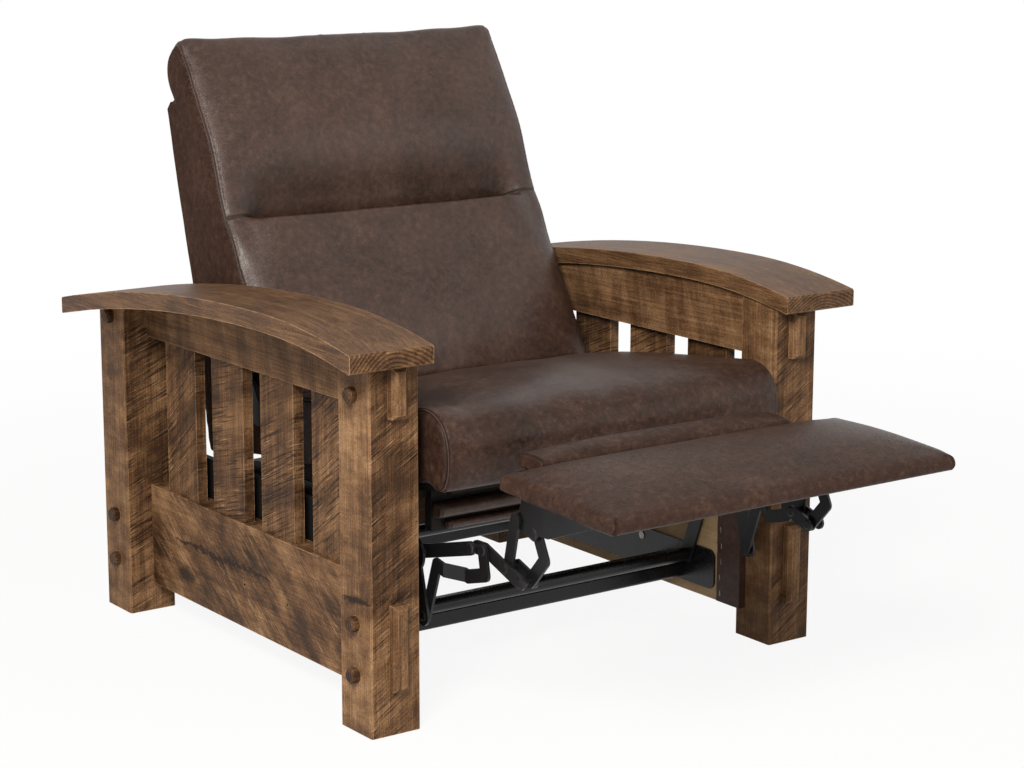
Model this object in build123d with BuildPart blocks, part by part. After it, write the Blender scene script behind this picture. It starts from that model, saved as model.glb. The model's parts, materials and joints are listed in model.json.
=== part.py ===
from build123d import *
import os
from math import atan2, cos, degrees, radians, sin, tan

os.makedirs("parts", exist_ok=True)

# A rustic wall hugger recliner. Lengths are millimetres and angles are degrees.
# X runs across the chair, with the left side at negative X as seen from the front.
# Y runs from the footrest to the back, and Z is up from the floor.
# The pose drawn is the open one: seat forward, back reclined, footrest out.

# Wooden side frames
chair_width = 896.0
post_size = 89.0
post_ease = 2.5
rail_inset = 47.0
rail_thickness = 38.0
lower_rail_bottom = 50.0
lower_rail_height = 181.0
upper_rail_drop = 111.0
upper_rail_tenon_height = 58.0
tenon_thickness = 20.0
tenon_shoulder = 15.0
tenon_length = 45.0
slat_count = 4
slat_inset = 52.0
slat_thickness = 19.0
slat_width = 104.0
slat_tongue = 12.0
peg_diameter = 25.0
peg_proud = 13.0
peg_depth = 72.0
peg_ease = 3.0
lower_peg_rise = 43.0
middle_peg_rise = 125.0
upper_peg_rise = 34.0
block_inset = 32.8
block_width = 28.0
block_proud = 17.0
block_ease = 6.0
lower_block_inset = 22.0
upper_block_headroom = 3.0
stretcher_thickness = 38.0
stretcher_tongue = 12.0

# Bowed arms
arm_width = 149.0
arm_thickness = 29.0
arm_outer_overhang = 54.0
arm_front_overhang = 33.0
arm_rear_overhang = 37.0
arm_front_height = 611.0
arm_crest_rise = 26.0
arm_crest_setback = 224.0
arm_rear_drop = 49.5
arm_ease = 2.5

# Plywood panels that carry the mechanism
panel_thickness = 12.0
panel_lift = 2.0
panel_height = 248.0
panel_front = 66.0
panel_rear_gap = 4.0
wrap_thickness = 1.6
wrap_width = 58.0

# Fixed base of the mechanism
steel = 4.0
layer_gap = 2.0
base_rail_lift = 18.0
base_rail_height = 70.0
base_rail_front_gap = 6.0
base_rail_overhang = 160.0
cross_rail_lift = 4.0
cross_rail_height = 28.0
front_cross_setback = 216.0
front_cross_depth = 80.0
rear_cross_gap = 40.0
rear_cross_depth = 56.0
cross_rail_wall = 2.5
screw_diameter = 7.0
screw_head_diameter = 14.0
screw_head_height = 1.5
screw_length = 34.0
screw_rise = 55.0
screw_spread = 130.0
stretcher_gap = 126.5
rail_bolt_diameter = 8.0
rail_bolt_head_diameter = 18.0
rail_bolt_head_height = 6.0
rail_bolt_inset = 32.0

# Swing links that let the seat travel forward as the back reclines
swing_length = 180.0
swing_lean = 20.66
swing_width = 28.0
front_swing_setback = 200.0
rear_swing_gap = 130.0
swing_pivot_rise = 50.0
torque_tube_diameter = 24.0
axle_diameter = 12.0

# Rivets and running fits
rivet_diameter = 10.0
rivet_head_diameter = 17.0
rivet_head_height = 1.2
pivot_clearance = 0.1
head_clearance = 0.1
open_pivot_clearance = 0.25
link_width = 22.0

# Carriage plates, which carry the seat, the back and the footrest linkage
carriage_width = 56.0
carriage_ear_width = 32.0
support_pivot_setback = 30.0
support_pivot_height = 171.0
guide_pivot_setback = 54.0
guide_pivot_height = 266.0
nose_setback = 96.0
nose_drop = 36.0
back_pivot_gap = 43.0
back_pivot_rise = 7.0

# Footrest linkage, on the plane of the left and right drive links
drive_link_inset = 28.0
drive_tip_reach = 180.0
drive_tip_height = 268.0
riser_foot_reach = 141.0
riser_foot_height = 281.5
support_tip_reach = 90.6
support_tip_height = 299.0
guide_tip_reach = 68.1
guide_tip_height = 298.3
support_knee = (98.0, 262.0)
support_belly = (52.0, 249.0)
support_shoulder = (0.0, 259.0)
support_joggle_front_reach = 46.0
support_joggle_rear_reach = 20.0
riser_rise = 78.0
riser_lean = 17.5
leg_bow_reach = 36.0
leg_bow_rise = 40.0
guide_drift = 6.3
guide_pin_diameter = 8.0

# Footrest and flipper pad
footrest_side_gap = 22.0
footrest_rear_lead = 13.5
footrest_rise = 52.8
footrest_tilt = 2.3
footrest_length = 268.0
footrest_edge_height = 27.0
footrest_crown = 17.0
footrest_nose = 9.0
footrest_board_thickness = 12.0
footrest_board_margin = 12.0
bracket_flange_width = 24.0
bracket_flange_length = 200.0
bracket_heel = 36.0
flipper_side_gap = 5.0
flipper_gap = 8.0
flipper_depth = 64.0
flipper_nose = 2.0
flipper_lift = 6.0
flipper_board_thickness = 10.0
flipper_edge_height = 25.0
flipper_crown = 12.0
flipper_pin_forward = 6.0
flipper_pin_drop = 10.0
flipper_pin_diameter = 6.0
flipper_arm_width = 14.0
flipper_foot_length = 50.0

# Seat
seat_side_gap = 21.0
seat_slope = 7.4
seat_front_reach = 22.0
seat_bulge = 30.0
seat_front_height = 388.0
seat_thickness = 112.0
seat_rear_setback = 427.0
seat_crown = 16.0
seat_side_draw = 9.0
frame_rail_thickness = 25.0
frame_rail_depth = 38.0
frame_front_reach = 10.0
frame_rear_inset = 9.0
apron_setback = 100.0
apron_thickness = 18.0
apron_drop = 108.0
spring_count = 5
spring_wire = 4.0
spring_swing = 30.0
spring_turns = 12
spring_lead = 14.0
roll_side_gap = 89.0
roll_diameter = 26.0
roll_drop = 72.0
lower_roll_inset = 23.0
lower_roll_diameter = 16.0
lower_roll_drop = 27.0

# Back
recline = 30.7
recline_travel = 19.0
back_side_inset = 7.0
back_seam_lead = 9.0
back_seam_rise = 52.0
cushion_foot = -10.0
cushion_top = 651.0
cushion_depth = 75.0
head_channel = 324.5
channel_depth = 17.0
head_bulge = 15.0
lumbar_bulge = 12.0
cushion_top_depth = 59.0
cushion_side_draw = 8.0
back_board_inset = 6.0
back_board_foot = -60.0
back_board_top = 490.0
back_board_thickness = 19.0
outer_back_inset = 1.0
outer_back_top = 585.0
outer_back_top_depth = 102.0
outer_back_mid = 300.0
outer_back_mid_depth = 184.0
outer_back_tail = 2.0
outer_back_tail_depth = 286.0
outer_back_foot = -90.0
hollow_top = 380.0
hollow_top_depth = 146.0
outer_back_wall = 12.0
back_bracket_width = 40.0
back_bracket_top = 190.0
back_bracket_depth = 80.0
back_bracket_heel = -2.0
back_bolt_heights = (60.0, 170.0)
back_boss_diameter = 16.0

# Cushion shape across: shares of the half width, of the side draw and of the crown
side_station_shares = ((0.26, 0, 1), (0.5, 0, 0.94), (0.71, 0, 0.76), (0.87, 0.05, 0.46),
                       (0.966, 0.35, 0.24), (1, 1, 0.15))

# Clearances
soft_gap = 0.5
seat_gap = 0.3
cut_overrun = 5.0

# Widths that follow from the chair's width
half_width = chair_width / 2
post_inner = half_width - post_size
rail_outer = half_width - rail_inset
panel_inner = post_inner - panel_thickness
base_rail_inner = panel_inner - steel
swing_outer = base_rail_inner - layer_gap
swing_inner = swing_outer - steel
carriage_plate_outer = swing_inner - layer_gap
carriage_plate_inner = carriage_plate_outer - steel
strap_outer = carriage_plate_inner - layer_gap
layer_pitch = steel + layer_gap
drive_link_outer = strap_outer - drive_link_inset
riser_outer = drive_link_outer - layer_pitch
bracket_outer = riser_outer - layer_pitch
leg_outer = bracket_outer - layer_pitch
drive_inner_outer = leg_outer - layer_pitch
support_tip_outer = drive_link_outer + layer_pitch
guide_outer = support_tip_outer + layer_pitch
back_bracket_inner = carriage_plate_outer + layer_gap
flange_inner = bracket_outer - steel - bracket_flange_width
lug_outer = flange_inner + steel
flipper_arm_outer = flange_inner - layer_gap
flipper_half_width = flipper_arm_outer - steel - flipper_side_gap
footrest_half_width = post_inner - footrest_side_gap
seat_half_width = post_inner - seat_side_gap
frame_half_width = carriage_plate_inner
nosing_half_width = frame_half_width - frame_rail_thickness
roll_half_width = post_inner - roll_side_gap
lower_roll_half_width = roll_half_width - lower_roll_inset
back_half_width = seat_half_width - back_side_inset
back_board_half_width = back_half_width - back_board_inset
outer_back_half_width = back_board_half_width - outer_back_inset

# Depths that follow from the seat's depth
back_pivot_setback = seat_rear_setback + back_pivot_gap
back_seam_setback = back_pivot_setback - back_seam_lead
frame_rear_setback = seat_rear_setback - frame_rear_inset
rear_swing_setback = back_pivot_setback + rear_swing_gap
rear_cross_setback = rear_swing_setback + rear_cross_gap
stretcher_front = rear_cross_setback + rear_cross_depth + stretcher_gap
chair_depth = stretcher_front + (post_size + stretcher_thickness) / 2
base_rail_front = panel_front + wrap_width + base_rail_front_gap
base_rail_length = rear_swing_setback + base_rail_overhang - base_rail_front
rail_length = chair_depth - 2 * post_size
slat_pitch = (rail_length - slat_count * slat_width) / (slat_count + 1) + slat_width
arm_rear_end = chair_depth + arm_rear_overhang
screw_setbacks = (front_swing_setback + screw_spread, back_pivot_setback,
                  rear_swing_setback + screw_spread)

# Heights that follow
lower_rail_top = lower_rail_bottom + lower_rail_height
arm_crest_height = arm_front_height + arm_crest_rise
arm_rear_height = arm_front_height - arm_rear_drop
upper_rail_bottom = arm_front_height - upper_rail_drop
peg_heights = (lower_rail_bottom + lower_peg_rise, lower_rail_bottom + middle_peg_rise,
               upper_rail_bottom + upper_peg_rise)
lower_block_bottom = lower_rail_bottom + lower_block_inset
lower_block_top = lower_rail_top - lower_block_inset
upper_block_top = arm_front_height - arm_thickness - upper_block_headroom
panel_bottom = lower_rail_bottom + panel_lift
base_rail_bottom = panel_bottom + base_rail_lift
cross_rail_bottom = base_rail_bottom + cross_rail_lift
swing_pivot_height = base_rail_bottom + swing_pivot_rise
screw_height = base_rail_bottom + screw_rise
nose_height = seat_front_height - nose_drop
back_pivot_height = seat_front_height + back_pivot_rise
back_seam_height = back_pivot_height + back_seam_rise
apron_bottom = seat_front_height - apron_drop
roll_height = seat_front_height - roll_drop
lower_roll_height = roll_height - lower_roll_drop
footrest_rear_reach = riser_foot_reach + riser_lean + footrest_rear_lead
footrest_underside = riser_foot_height + riser_rise + footrest_rise
footrest_front_reach = (footrest_rear_reach
                        + (footrest_length + footrest_nose) * cos(radians(footrest_tilt)))

# The front post faces stand here, so that the open chair is centred on Y zero.
front = (footrest_front_reach - arm_rear_end) / 2

SIDES = {"left": -1, "right": 1}


def at(setback, height):
    """A point of a side sketch, from the front post faces and the floor."""
    return (front + setback, height)


def side_plane(side, distance):
    """The upright plane at a distance from the middle, on one side."""
    return Plane.YZ.offset(side * distance)


def front_plane(setback):
    """The upright plane across the chair at a setback from the front post faces."""
    return Plane.XZ.offset(-front - setback)


def save(piece, name):
    """Label a finished piece and write it."""
    piece.label = name
    export_step(piece, f"parts/{name}.step")


def slot_between(points, width):
    """A flat link outline: a rounded strap along the given side points."""
    with BuildLine() as path:
        Polyline(*[at(*point) for point in points])
    with BuildSketch() as outline:
        SlotArc(path.wire(), width)
    return outline.sketch


def joined_slots(straps):
    """Several rounded straps joined to one plate outline."""
    with BuildSketch() as outline:
        for points, width in straps:
            add(slot_between(points, width))
    return outline.sketch


def share_between(start, end, share):
    """The point at a share of the way from start to end."""
    return tuple(a + (b - a) * share for a, b in zip(start, end))


# Pivot points at rest, as setback from the front post faces and height
swing_shift = swing_length * sin(radians(swing_lean))
swing_top_height = swing_pivot_height + swing_length * cos(radians(swing_lean))
front_swing_foot = (front_swing_setback, swing_pivot_height)
rear_swing_foot = (rear_swing_setback, swing_pivot_height)
front_swing_top = (front_swing_setback - swing_shift, swing_top_height)
rear_swing_top = (rear_swing_setback - swing_shift, swing_top_height)
support_pivot = (support_pivot_setback, support_pivot_height)
guide_pivot = (guide_pivot_setback, guide_pivot_height)
support_tip = (-support_tip_reach, support_tip_height)
guide_tip = (-guide_tip_reach, guide_tip_height)
riser_foot = (-riser_foot_reach, riser_foot_height)
drive_tip = (-drive_tip_reach, drive_tip_height)
riser_top = (riser_foot[0] - riser_lean, riser_foot[1] + riser_rise)
leg_top = (drive_tip[0] - riser_lean, drive_tip[1] + riser_rise)
leg_bow = (drive_tip[0] - leg_bow_reach, drive_tip[1] + leg_bow_rise)
back_pivot = (back_pivot_setback, back_pivot_height)


# Wooden side frames

def arm_profile():
    """Side view of the bowed arm: two arcs that meet level at the crest."""
    crest = at(arm_crest_setback, arm_crest_height)
    under_crest = at(arm_crest_setback, arm_crest_height - arm_thickness)
    front_top = at(-arm_front_overhang, arm_front_height)
    front_under = at(-arm_front_overhang, arm_front_height - arm_thickness)
    rear_top = at(arm_rear_end, arm_rear_height)
    rear_under = at(arm_rear_end, arm_rear_height - arm_thickness)
    with BuildSketch() as profile:
        with BuildLine():
            TangentArc(crest, front_top, tangent=(-1, 0))
            Line(front_top, front_under)
            TangentArc(under_crest, front_under, tangent=(-1, 0))
            TangentArc(under_crest, rear_under, tangent=(1, 0))
            Line(rear_under, rear_top)
            TangentArc(crest, rear_top, tangent=(1, 0))
        make_face()
    return profile.sketch


def under_arm_profile():
    """Everything below the arm, down to the floor."""
    under_crest = at(arm_crest_setback, arm_crest_height - arm_thickness)
    front_under = at(-arm_front_overhang, arm_front_height - arm_thickness)
    rear_under = at(arm_rear_end, arm_rear_height - arm_thickness)
    with BuildSketch() as profile:
        with BuildLine():
            TangentArc(under_crest, front_under, tangent=(-1, 0))
            Line(front_under, at(-arm_front_overhang, 0))
            Line(at(-arm_front_overhang, 0), at(arm_rear_end, 0))
            Line(at(arm_rear_end, 0), rear_under)
            TangentArc(under_crest, rear_under, tangent=(1, 0))
        make_face()
    return profile.sketch


def tenon_spots(setback):
    """Centre and height of the lower and the upper tenon at one post."""
    lower = (at(setback, lower_rail_bottom + lower_rail_height / 2),
             lower_rail_height - 2 * tenon_shoulder)
    upper = (at(setback, upper_rail_bottom + tenon_shoulder + upper_rail_tenon_height / 2),
             upper_rail_tenon_height)
    return lower, upper


def peg_spots(setback):
    """The three peg centres on one post."""
    return [at(setback + post_size / 2, height) for height in peg_heights]


def make_post(side, setback):
    """A square post with its mortises, peg holes and a top that follows the arm."""
    inner_end = setback + post_size if setback == 0 else setback
    mortise_centre = inner_end - tenon_length / 2 if setback == 0 else inner_end + tenon_length / 2
    tenon_outer = rail_outer - (rail_thickness - tenon_thickness) / 2
    with BuildPart() as post:
        with BuildSketch(side_plane(side, half_width)):
            with Locations(at(setback + post_size / 2, arm_crest_height / 2)):
                Rectangle(post_size, arm_crest_height)
        extrude(amount=-side * post_size)
        chamfer(post.edges().filter_by(Axis.Z), post_ease)
        with BuildSketch(side_plane(side, half_width)):
            add(under_arm_profile())
        extrude(amount=-side * post_size, mode=Mode.INTERSECT)
        for centre, height in tenon_spots(mortise_centre):
            with BuildSketch(side_plane(side, tenon_outer)):
                with Locations(centre):
                    Rectangle(tenon_length, height)
            extrude(amount=-side * tenon_thickness, mode=Mode.SUBTRACT)
        with BuildSketch(side_plane(side, half_width)):
            with Locations(*peg_spots(setback)):
                Circle(peg_diameter / 2)
        extrude(amount=-side * peg_depth, mode=Mode.SUBTRACT)
        if setback > 0:
            with BuildSketch(side_plane(side, post_inner)):
                with Locations(at(setback + post_size / 2,
                                  lower_rail_bottom + lower_rail_height / 2)):
                    Rectangle(stretcher_thickness - tenon_shoulder,
                              lower_rail_height - 2 * tenon_shoulder)
            extrude(amount=side * stretcher_tongue, mode=Mode.SUBTRACT)
    return post.part


def slat_spots():
    """Centres of the slats, spaced evenly between the posts."""
    height = (lower_rail_top + upper_rail_bottom) / 2
    return [at(post_size + slat_pitch * (i + 1) - slat_width / 2, height)
            for i in range(slat_count)]


def slat_length():
    """Slat length with a tongue in each rail."""
    return upper_rail_bottom - lower_rail_top + 2 * slat_tongue


def make_rail(side, upper):
    """A side rail with a blind tenon at each end and seats for the slats."""
    tenon_outer = rail_outer - (rail_thickness - tenon_thickness) / 2
    centre = chair_depth / 2
    bottom = upper_rail_bottom if upper else lower_rail_bottom
    height = arm_crest_height - upper_rail_bottom if upper else lower_rail_height
    tenon_centre, tenon_height = tenon_spots(centre)[1 if upper else 0]
    with BuildPart() as rail:
        with BuildSketch(side_plane(side, rail_outer)):
            with Locations(at(centre, bottom + height / 2)):
                Rectangle(rail_length, height)
        extrude(amount=-side * rail_thickness)
        with BuildSketch(side_plane(side, tenon_outer)):
            with Locations(tenon_centre):
                Rectangle(rail_length + 2 * tenon_length, tenon_height)
        extrude(amount=-side * tenon_thickness)
        with BuildSketch(side_plane(side, rail_outer)):
            add(under_arm_profile())
        extrude(amount=-side * rail_thickness, mode=Mode.INTERSECT)
        with BuildSketch(side_plane(side, half_width - slat_inset)):
            with Locations(*slat_spots()):
                Rectangle(slat_width, slat_length())
        extrude(amount=-side * slat_thickness, mode=Mode.SUBTRACT)
        with BuildSketch(side_plane(side, half_width)):
            with Locations(*peg_spots(0), *peg_spots(chair_depth - post_size)):
                Circle(peg_diameter / 2)
        extrude(amount=-side * peg_depth, mode=Mode.SUBTRACT)
        if not upper:
            with BuildSketch(side_plane(side, rail_outer)):
                with Locations(*[at(setback, screw_height) for setback in screw_setbacks]):
                    Circle(screw_diameter / 2)
            extrude(amount=-side * rail_thickness, mode=Mode.SUBTRACT)
    return rail.part


def make_slats(side):
    """Four flat slats."""
    with BuildPart() as slats:
        with BuildSketch(side_plane(side, half_width - slat_inset)):
            with Locations(*slat_spots()):
                Rectangle(slat_width, slat_length())
        extrude(amount=-side * slat_thickness)
    return slats.part


def make_arm(side):
    """The bowed arm board with softened edges."""
    with BuildPart() as arm:
        with BuildSketch(side_plane(side, half_width + arm_outer_overhang)):
            add(arm_profile())
        extrude(amount=-side * arm_width)
        chamfer(arm.edges().filter_by(Axis.X).sort_by(Axis.Y)[:2], arm_ease)
        chamfer(arm.edges().filter_by(Axis.X).sort_by(Axis.Y)[-2:], arm_ease)
    return arm.part


def make_pegs():
    """Round pegs that lock the tenons and stand proud of the posts."""
    with BuildPart() as pegs:
        for side in SIDES.values():
            with BuildSketch(side_plane(side, half_width + peg_proud)):
                with Locations(*peg_spots(0), *peg_spots(chair_depth - post_size)):
                    Circle(peg_diameter / 2)
            extrude(amount=-side * (peg_proud + peg_depth))
        heads = pegs.faces().filter_by(Axis.X)
        chamfer(heads.group_by(Axis.X)[0].edges(), peg_ease)
        heads = pegs.faces().filter_by(Axis.X)
        chamfer(heads.group_by(Axis.X)[-1].edges(), peg_ease)
    return pegs.part


def make_blocks():
    """Bevelled blocks on the front faces of the front posts, like tenon ends."""
    spans = ((lower_block_bottom, lower_block_top), (upper_rail_bottom, upper_block_top))
    centre = half_width - block_inset - block_width / 2
    with BuildPart() as blocks:
        for low, high in spans:
            with BuildSketch(front_plane(0)):
                with Locations((-centre, (low + high) / 2), (centre, (low + high) / 2)):
                    Rectangle(block_width, high - low)
            extrude(amount=block_proud)
        chamfer(blocks.faces().filter_by(Axis.Y).group_by(Axis.Y)[0].edges(), block_ease)
    return blocks.part


def make_stretcher():
    """The rear rail between the rear posts."""
    centre = (0, lower_rail_bottom + lower_rail_height / 2)
    setback = stretcher_front + stretcher_thickness
    tongue_thickness = stretcher_thickness - tenon_shoulder
    tongue_setback = chair_depth - (post_size - tongue_thickness) / 2
    with BuildPart() as stretcher:
        with BuildSketch(front_plane(setback)):
            with Locations(centre):
                Rectangle(2 * post_inner, lower_rail_height)
        extrude(amount=stretcher_thickness)
        with BuildSketch(front_plane(tongue_setback)):
            with Locations(centre):
                Rectangle(2 * (post_inner + stretcher_tongue),
                          lower_rail_height - 2 * tenon_shoulder)
        extrude(amount=tongue_thickness)
    return stretcher.part


def make_panel(side):
    """The plywood panel inside the posts."""
    length = stretcher_front - panel_rear_gap - panel_front
    with BuildPart() as panel:
        with BuildSketch(side_plane(side, post_inner)):
            with Locations(at(panel_front + length / 2, panel_bottom + panel_height / 2)):
                Rectangle(length, panel_height)
            with Locations(*[at(setback, screw_height) for setback in screw_setbacks]):
                Circle(screw_diameter / 2, mode=Mode.SUBTRACT)
        extrude(amount=-side * panel_thickness)
    return panel.part


def make_wrap(side):
    """The leather that wraps the front edge of the plywood panel."""
    with BuildPart() as wrap:
        with BuildSketch(Plane.XY.offset(panel_bottom)):
            with BuildLine():
                Polyline((side * post_inner, front + panel_front - wrap_thickness),
                         (side * (panel_inner - wrap_thickness), front + panel_front - wrap_thickness),
                         (side * (panel_inner - wrap_thickness), front + panel_front + wrap_width),
                         (side * panel_inner, front + panel_front + wrap_width),
                         (side * panel_inner, front + panel_front),
                         (side * post_inner, front + panel_front),
                         close=True)
            make_face()
        extrude(amount=panel_height)
    return wrap.part


# Fixed base of the mechanism

def make_base_rail(side):
    """The steel rail that is screwed to the plywood panel."""
    with BuildPart() as rail:
        with BuildSketch(side_plane(side, panel_inner)):
            with Locations(at(base_rail_front + base_rail_length / 2,
                              base_rail_bottom + base_rail_height / 2)):
                RectangleRounded(base_rail_length, base_rail_height, base_rail_height / 5)
            with Locations(at(*front_swing_foot), at(*rear_swing_foot)):
                Circle(axle_diameter / 2 + pivot_clearance, mode=Mode.SUBTRACT)
            with Locations(*[at(setback, screw_height) for setback in screw_setbacks]):
                Circle(screw_diameter / 2, mode=Mode.SUBTRACT)
        extrude(amount=-side * steel)
    return rail.part


def rail_bolt_spots():
    """The bolts near each end of the two cross rails."""
    across = base_rail_inner - rail_bolt_inset
    front_line = front + front_cross_setback + front_cross_depth / 2
    rear_line = front + rear_cross_setback + rear_cross_depth / 2
    return [(side * across, line) for side in (-1, 1) for line in (front_line, rear_line)]


def make_cross_rail(setback, depth):
    """A flat steel tube across the chair, between the two base rails."""
    with BuildPart() as rail:
        with BuildSketch(Plane.YZ.offset(-base_rail_inner)):
            with Locations(at(setback + depth / 2, cross_rail_bottom + cross_rail_height / 2)):
                RectangleRounded(depth, cross_rail_height, 2 * cross_rail_wall)
                RectangleRounded(depth - 2 * cross_rail_wall,
                                 cross_rail_height - 2 * cross_rail_wall,
                                 cross_rail_wall, mode=Mode.SUBTRACT)
        extrude(amount=2 * base_rail_inner)
        with BuildSketch(Plane.XY.offset(cross_rail_bottom)):
            with Locations(*rail_bolt_spots()):
                Circle(rail_bolt_diameter / 2)
        extrude(amount=cross_rail_height, mode=Mode.SUBTRACT)
    return rail.part


def make_fasteners():
    """Screws of the base rails and bolts of the cross rails."""
    with BuildPart() as fasteners:
        for side in SIDES.values():
            with BuildSketch(side_plane(side, base_rail_inner)):
                with Locations(*[at(setback, screw_height) for setback in screw_setbacks]):
                    Circle(screw_diameter / 2)
            extrude(amount=side * screw_length)
            with BuildSketch(side_plane(side, base_rail_inner)):
                with Locations(*[at(setback, screw_height) for setback in screw_setbacks]):
                    Circle(screw_head_diameter / 2)
            extrude(amount=-side * screw_head_height)
        with BuildSketch(Plane.XY.offset(cross_rail_bottom)):
            with Locations(*rail_bolt_spots()):
                Circle(rail_bolt_diameter / 2)
        extrude(amount=cross_rail_height)
        with BuildSketch(Plane.XY.offset(cross_rail_bottom + cross_rail_height)):
            with Locations(*rail_bolt_spots()):
                RegularPolygon(rail_bolt_head_diameter / 2, 6)
        extrude(amount=rail_bolt_head_height)
    return fasteners.part


# Links, rivets and plates

def rivet_cuts(side, pivots, radius, outer, inner):
    """Pivot holes through the layers between two distances, as a separate tool."""
    with BuildPart() as holes:
        with BuildSketch(side_plane(side, outer + cut_overrun)):
            with Locations(*[at(*pivot) for pivot in pivots]):
                Circle(radius)
        extrude(amount=-side * (outer - inner + 2 * cut_overrun))
    return holes.part


def rivet(side, pivot, outer, inner, diameter=rivet_diameter, outer_head=True, inner_head=True):
    """A rivet that spans the layers between two distances, with low round heads."""
    head_radius = rivet_head_diameter / 2
    with BuildPart() as pin:
        with BuildSketch(side_plane(side, outer + head_clearance)):
            with Locations(at(*pivot)):
                Circle(diameter / 2)
        extrude(amount=-side * (outer - inner + 2 * head_clearance))
        if outer_head:
            with BuildSketch(side_plane(side, outer + head_clearance)):
                with Locations(at(*pivot)):
                    Circle(head_radius)
            extrude(amount=side * rivet_head_height, taper=rivet_head_taper())
        if inner_head:
            with BuildSketch(side_plane(side, inner - head_clearance)):
                with Locations(at(*pivot)):
                    Circle(head_radius)
            extrude(amount=-side * rivet_head_height, taper=rivet_head_taper())
    return pin.part


def rivet_head_taper():
    """Slope of a rivet head that narrows by a quarter of its radius."""
    return degrees(atan2(rivet_head_diameter / 8, rivet_head_height))


def make_swing_link(side, foot, top, open_top):
    """A swing link from the base rail up to the carriage plate, with its top rivet."""
    clearance = open_pivot_clearance if open_top else 0
    with BuildPart() as link:
        with BuildSketch(side_plane(side, swing_outer)):
            add(slot_between((foot, top), swing_width))
            with Locations(at(*foot)):
                Circle(axle_diameter / 2, mode=Mode.SUBTRACT)
        extrude(amount=-side * steel)
        add(rivet(side, top, swing_outer, carriage_plate_inner,
                  rivet_diameter - 2 * clearance))
    return link.part


def make_torque_tube(foot):
    """The tube that ties the left and the right swing link, with its end axles."""
    with BuildPart() as tube:
        with BuildSketch(Plane.YZ.offset(-swing_inner)):
            with Locations(at(*foot)):
                Circle(torque_tube_diameter / 2)
        extrude(amount=2 * swing_inner)
        with BuildSketch(Plane.YZ.offset(-panel_inner)):
            with Locations(at(*foot)):
                Circle(axle_diameter / 2)
        extrude(amount=2 * panel_inner)
    return tube.part


def carriage_straps():
    """The straps that make up a carriage plate."""
    rail_height = front_swing_top[1]
    return (
        ((guide_pivot, (nose_setback, rail_height), (rear_swing_top[0], rail_height)), carriage_width),
        ((guide_pivot, support_pivot), carriage_ear_width),
        (((nose_setback, rail_height), (nose_setback, nose_height)), carriage_ear_width),
        (((back_pivot_setback, rail_height), back_pivot), carriage_ear_width),
    )


def make_carriage_plate(side):
    """The side plate that carries the seat, the back and the footrest links."""
    with BuildPart() as plate:
        with BuildSketch(side_plane(side, carriage_plate_outer)):
            add(joined_slots(carriage_straps()))
            with Locations(at(*front_swing_top), at(*rear_swing_top)):
                Circle(rivet_diameter / 2 + pivot_clearance, mode=Mode.SUBTRACT)
            with Locations(at(*support_pivot), at(*back_pivot)):
                Circle(rivet_diameter / 2 + pivot_clearance, mode=Mode.SUBTRACT)
            with Locations(at(*guide_pivot)):
                Circle(guide_pin_diameter / 2 + guide_drift, mode=Mode.SUBTRACT)
        extrude(amount=-side * steel)
    return plate.part


def make_support_link(side):
    """The long bowed link that steps outward to the carriage and carries the drive links."""
    path = (support_pivot, support_shoulder, (-support_belly[0], support_belly[1]),
            (-support_knee[0], support_knee[1]), support_tip)
    front_limit = front - support_knee[0] - link_width
    rear_limit = front + support_pivot_setback + link_width
    step_front = front - support_joggle_front_reach
    step_rear = front - support_joggle_rear_reach
    rear_line = side * strap_outer
    tip_line = side * support_tip_outer
    rear_back = side * (strap_outer - steel)
    tip_back = side * (support_tip_outer - steel)
    low = support_pivot_height - link_width
    with BuildPart() as link:
        with BuildSketch(Plane.XY.offset(low)):
            with BuildLine():
                Polyline((rear_line, rear_limit), (rear_line, step_rear),
                         (tip_line, step_front), (tip_line, front_limit),
                         (tip_back, front_limit), (tip_back, step_front),
                         (rear_back, step_rear), (rear_back, rear_limit), close=True)
            make_face()
        extrude(amount=support_tip_height + link_width - low)
        with BuildSketch(side_plane(side, strap_outer)):
            add(slot_between(path, link_width))
        extrude(amount=-side * (strap_outer - support_tip_outer + steel), mode=Mode.INTERSECT)
        add(rivet(side, support_pivot, carriage_plate_outer, strap_outer - steel, inner_head=False))
        add(rivet_cuts(side, [support_tip], rivet_diameter / 2 + pivot_clearance,
                       support_tip_outer, support_tip_outer - steel), mode=Mode.SUBTRACT)
    return link.part


def make_guide_strap(side):
    """The flat strap that turns the drive links as they run out, with its long rear pin."""
    with BuildPart() as strap:
        with BuildSketch(side_plane(side, guide_outer)):
            add(slot_between((guide_pivot, guide_tip), link_width))
            with Locations(at(*guide_tip)):
                Circle(rivet_diameter / 2 + pivot_clearance, mode=Mode.SUBTRACT)
        extrude(amount=-side * steel)
        with BuildSketch(side_plane(side, carriage_plate_outer)):
            with Locations(at(*guide_pivot)):
                Circle(guide_pin_diameter / 2)
        extrude(amount=-side * (carriage_plate_outer - guide_outer + steel))
    return strap.part


def make_drive_link(side):
    """The pair of plates that runs forward, with the rivets that it turns on."""
    with BuildPart() as link:
        with BuildSketch(side_plane(side, drive_link_outer)):
            add(slot_between((guide_tip, support_tip, drive_tip), link_width))
        extrude(amount=-side * steel)
        with BuildSketch(side_plane(side, drive_inner_outer)):
            add(slot_between((riser_foot, drive_tip), link_width))
        extrude(amount=-side * steel)
        add(rivet(side, guide_tip, guide_outer, drive_link_outer - steel))
        add(rivet(side, support_tip, support_tip_outer, drive_link_outer - steel))
        add(rivet(side, riser_foot, drive_link_outer, drive_inner_outer - steel))
        add(rivet(side, drive_tip, drive_link_outer, drive_inner_outer - steel))
    return link.part


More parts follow.
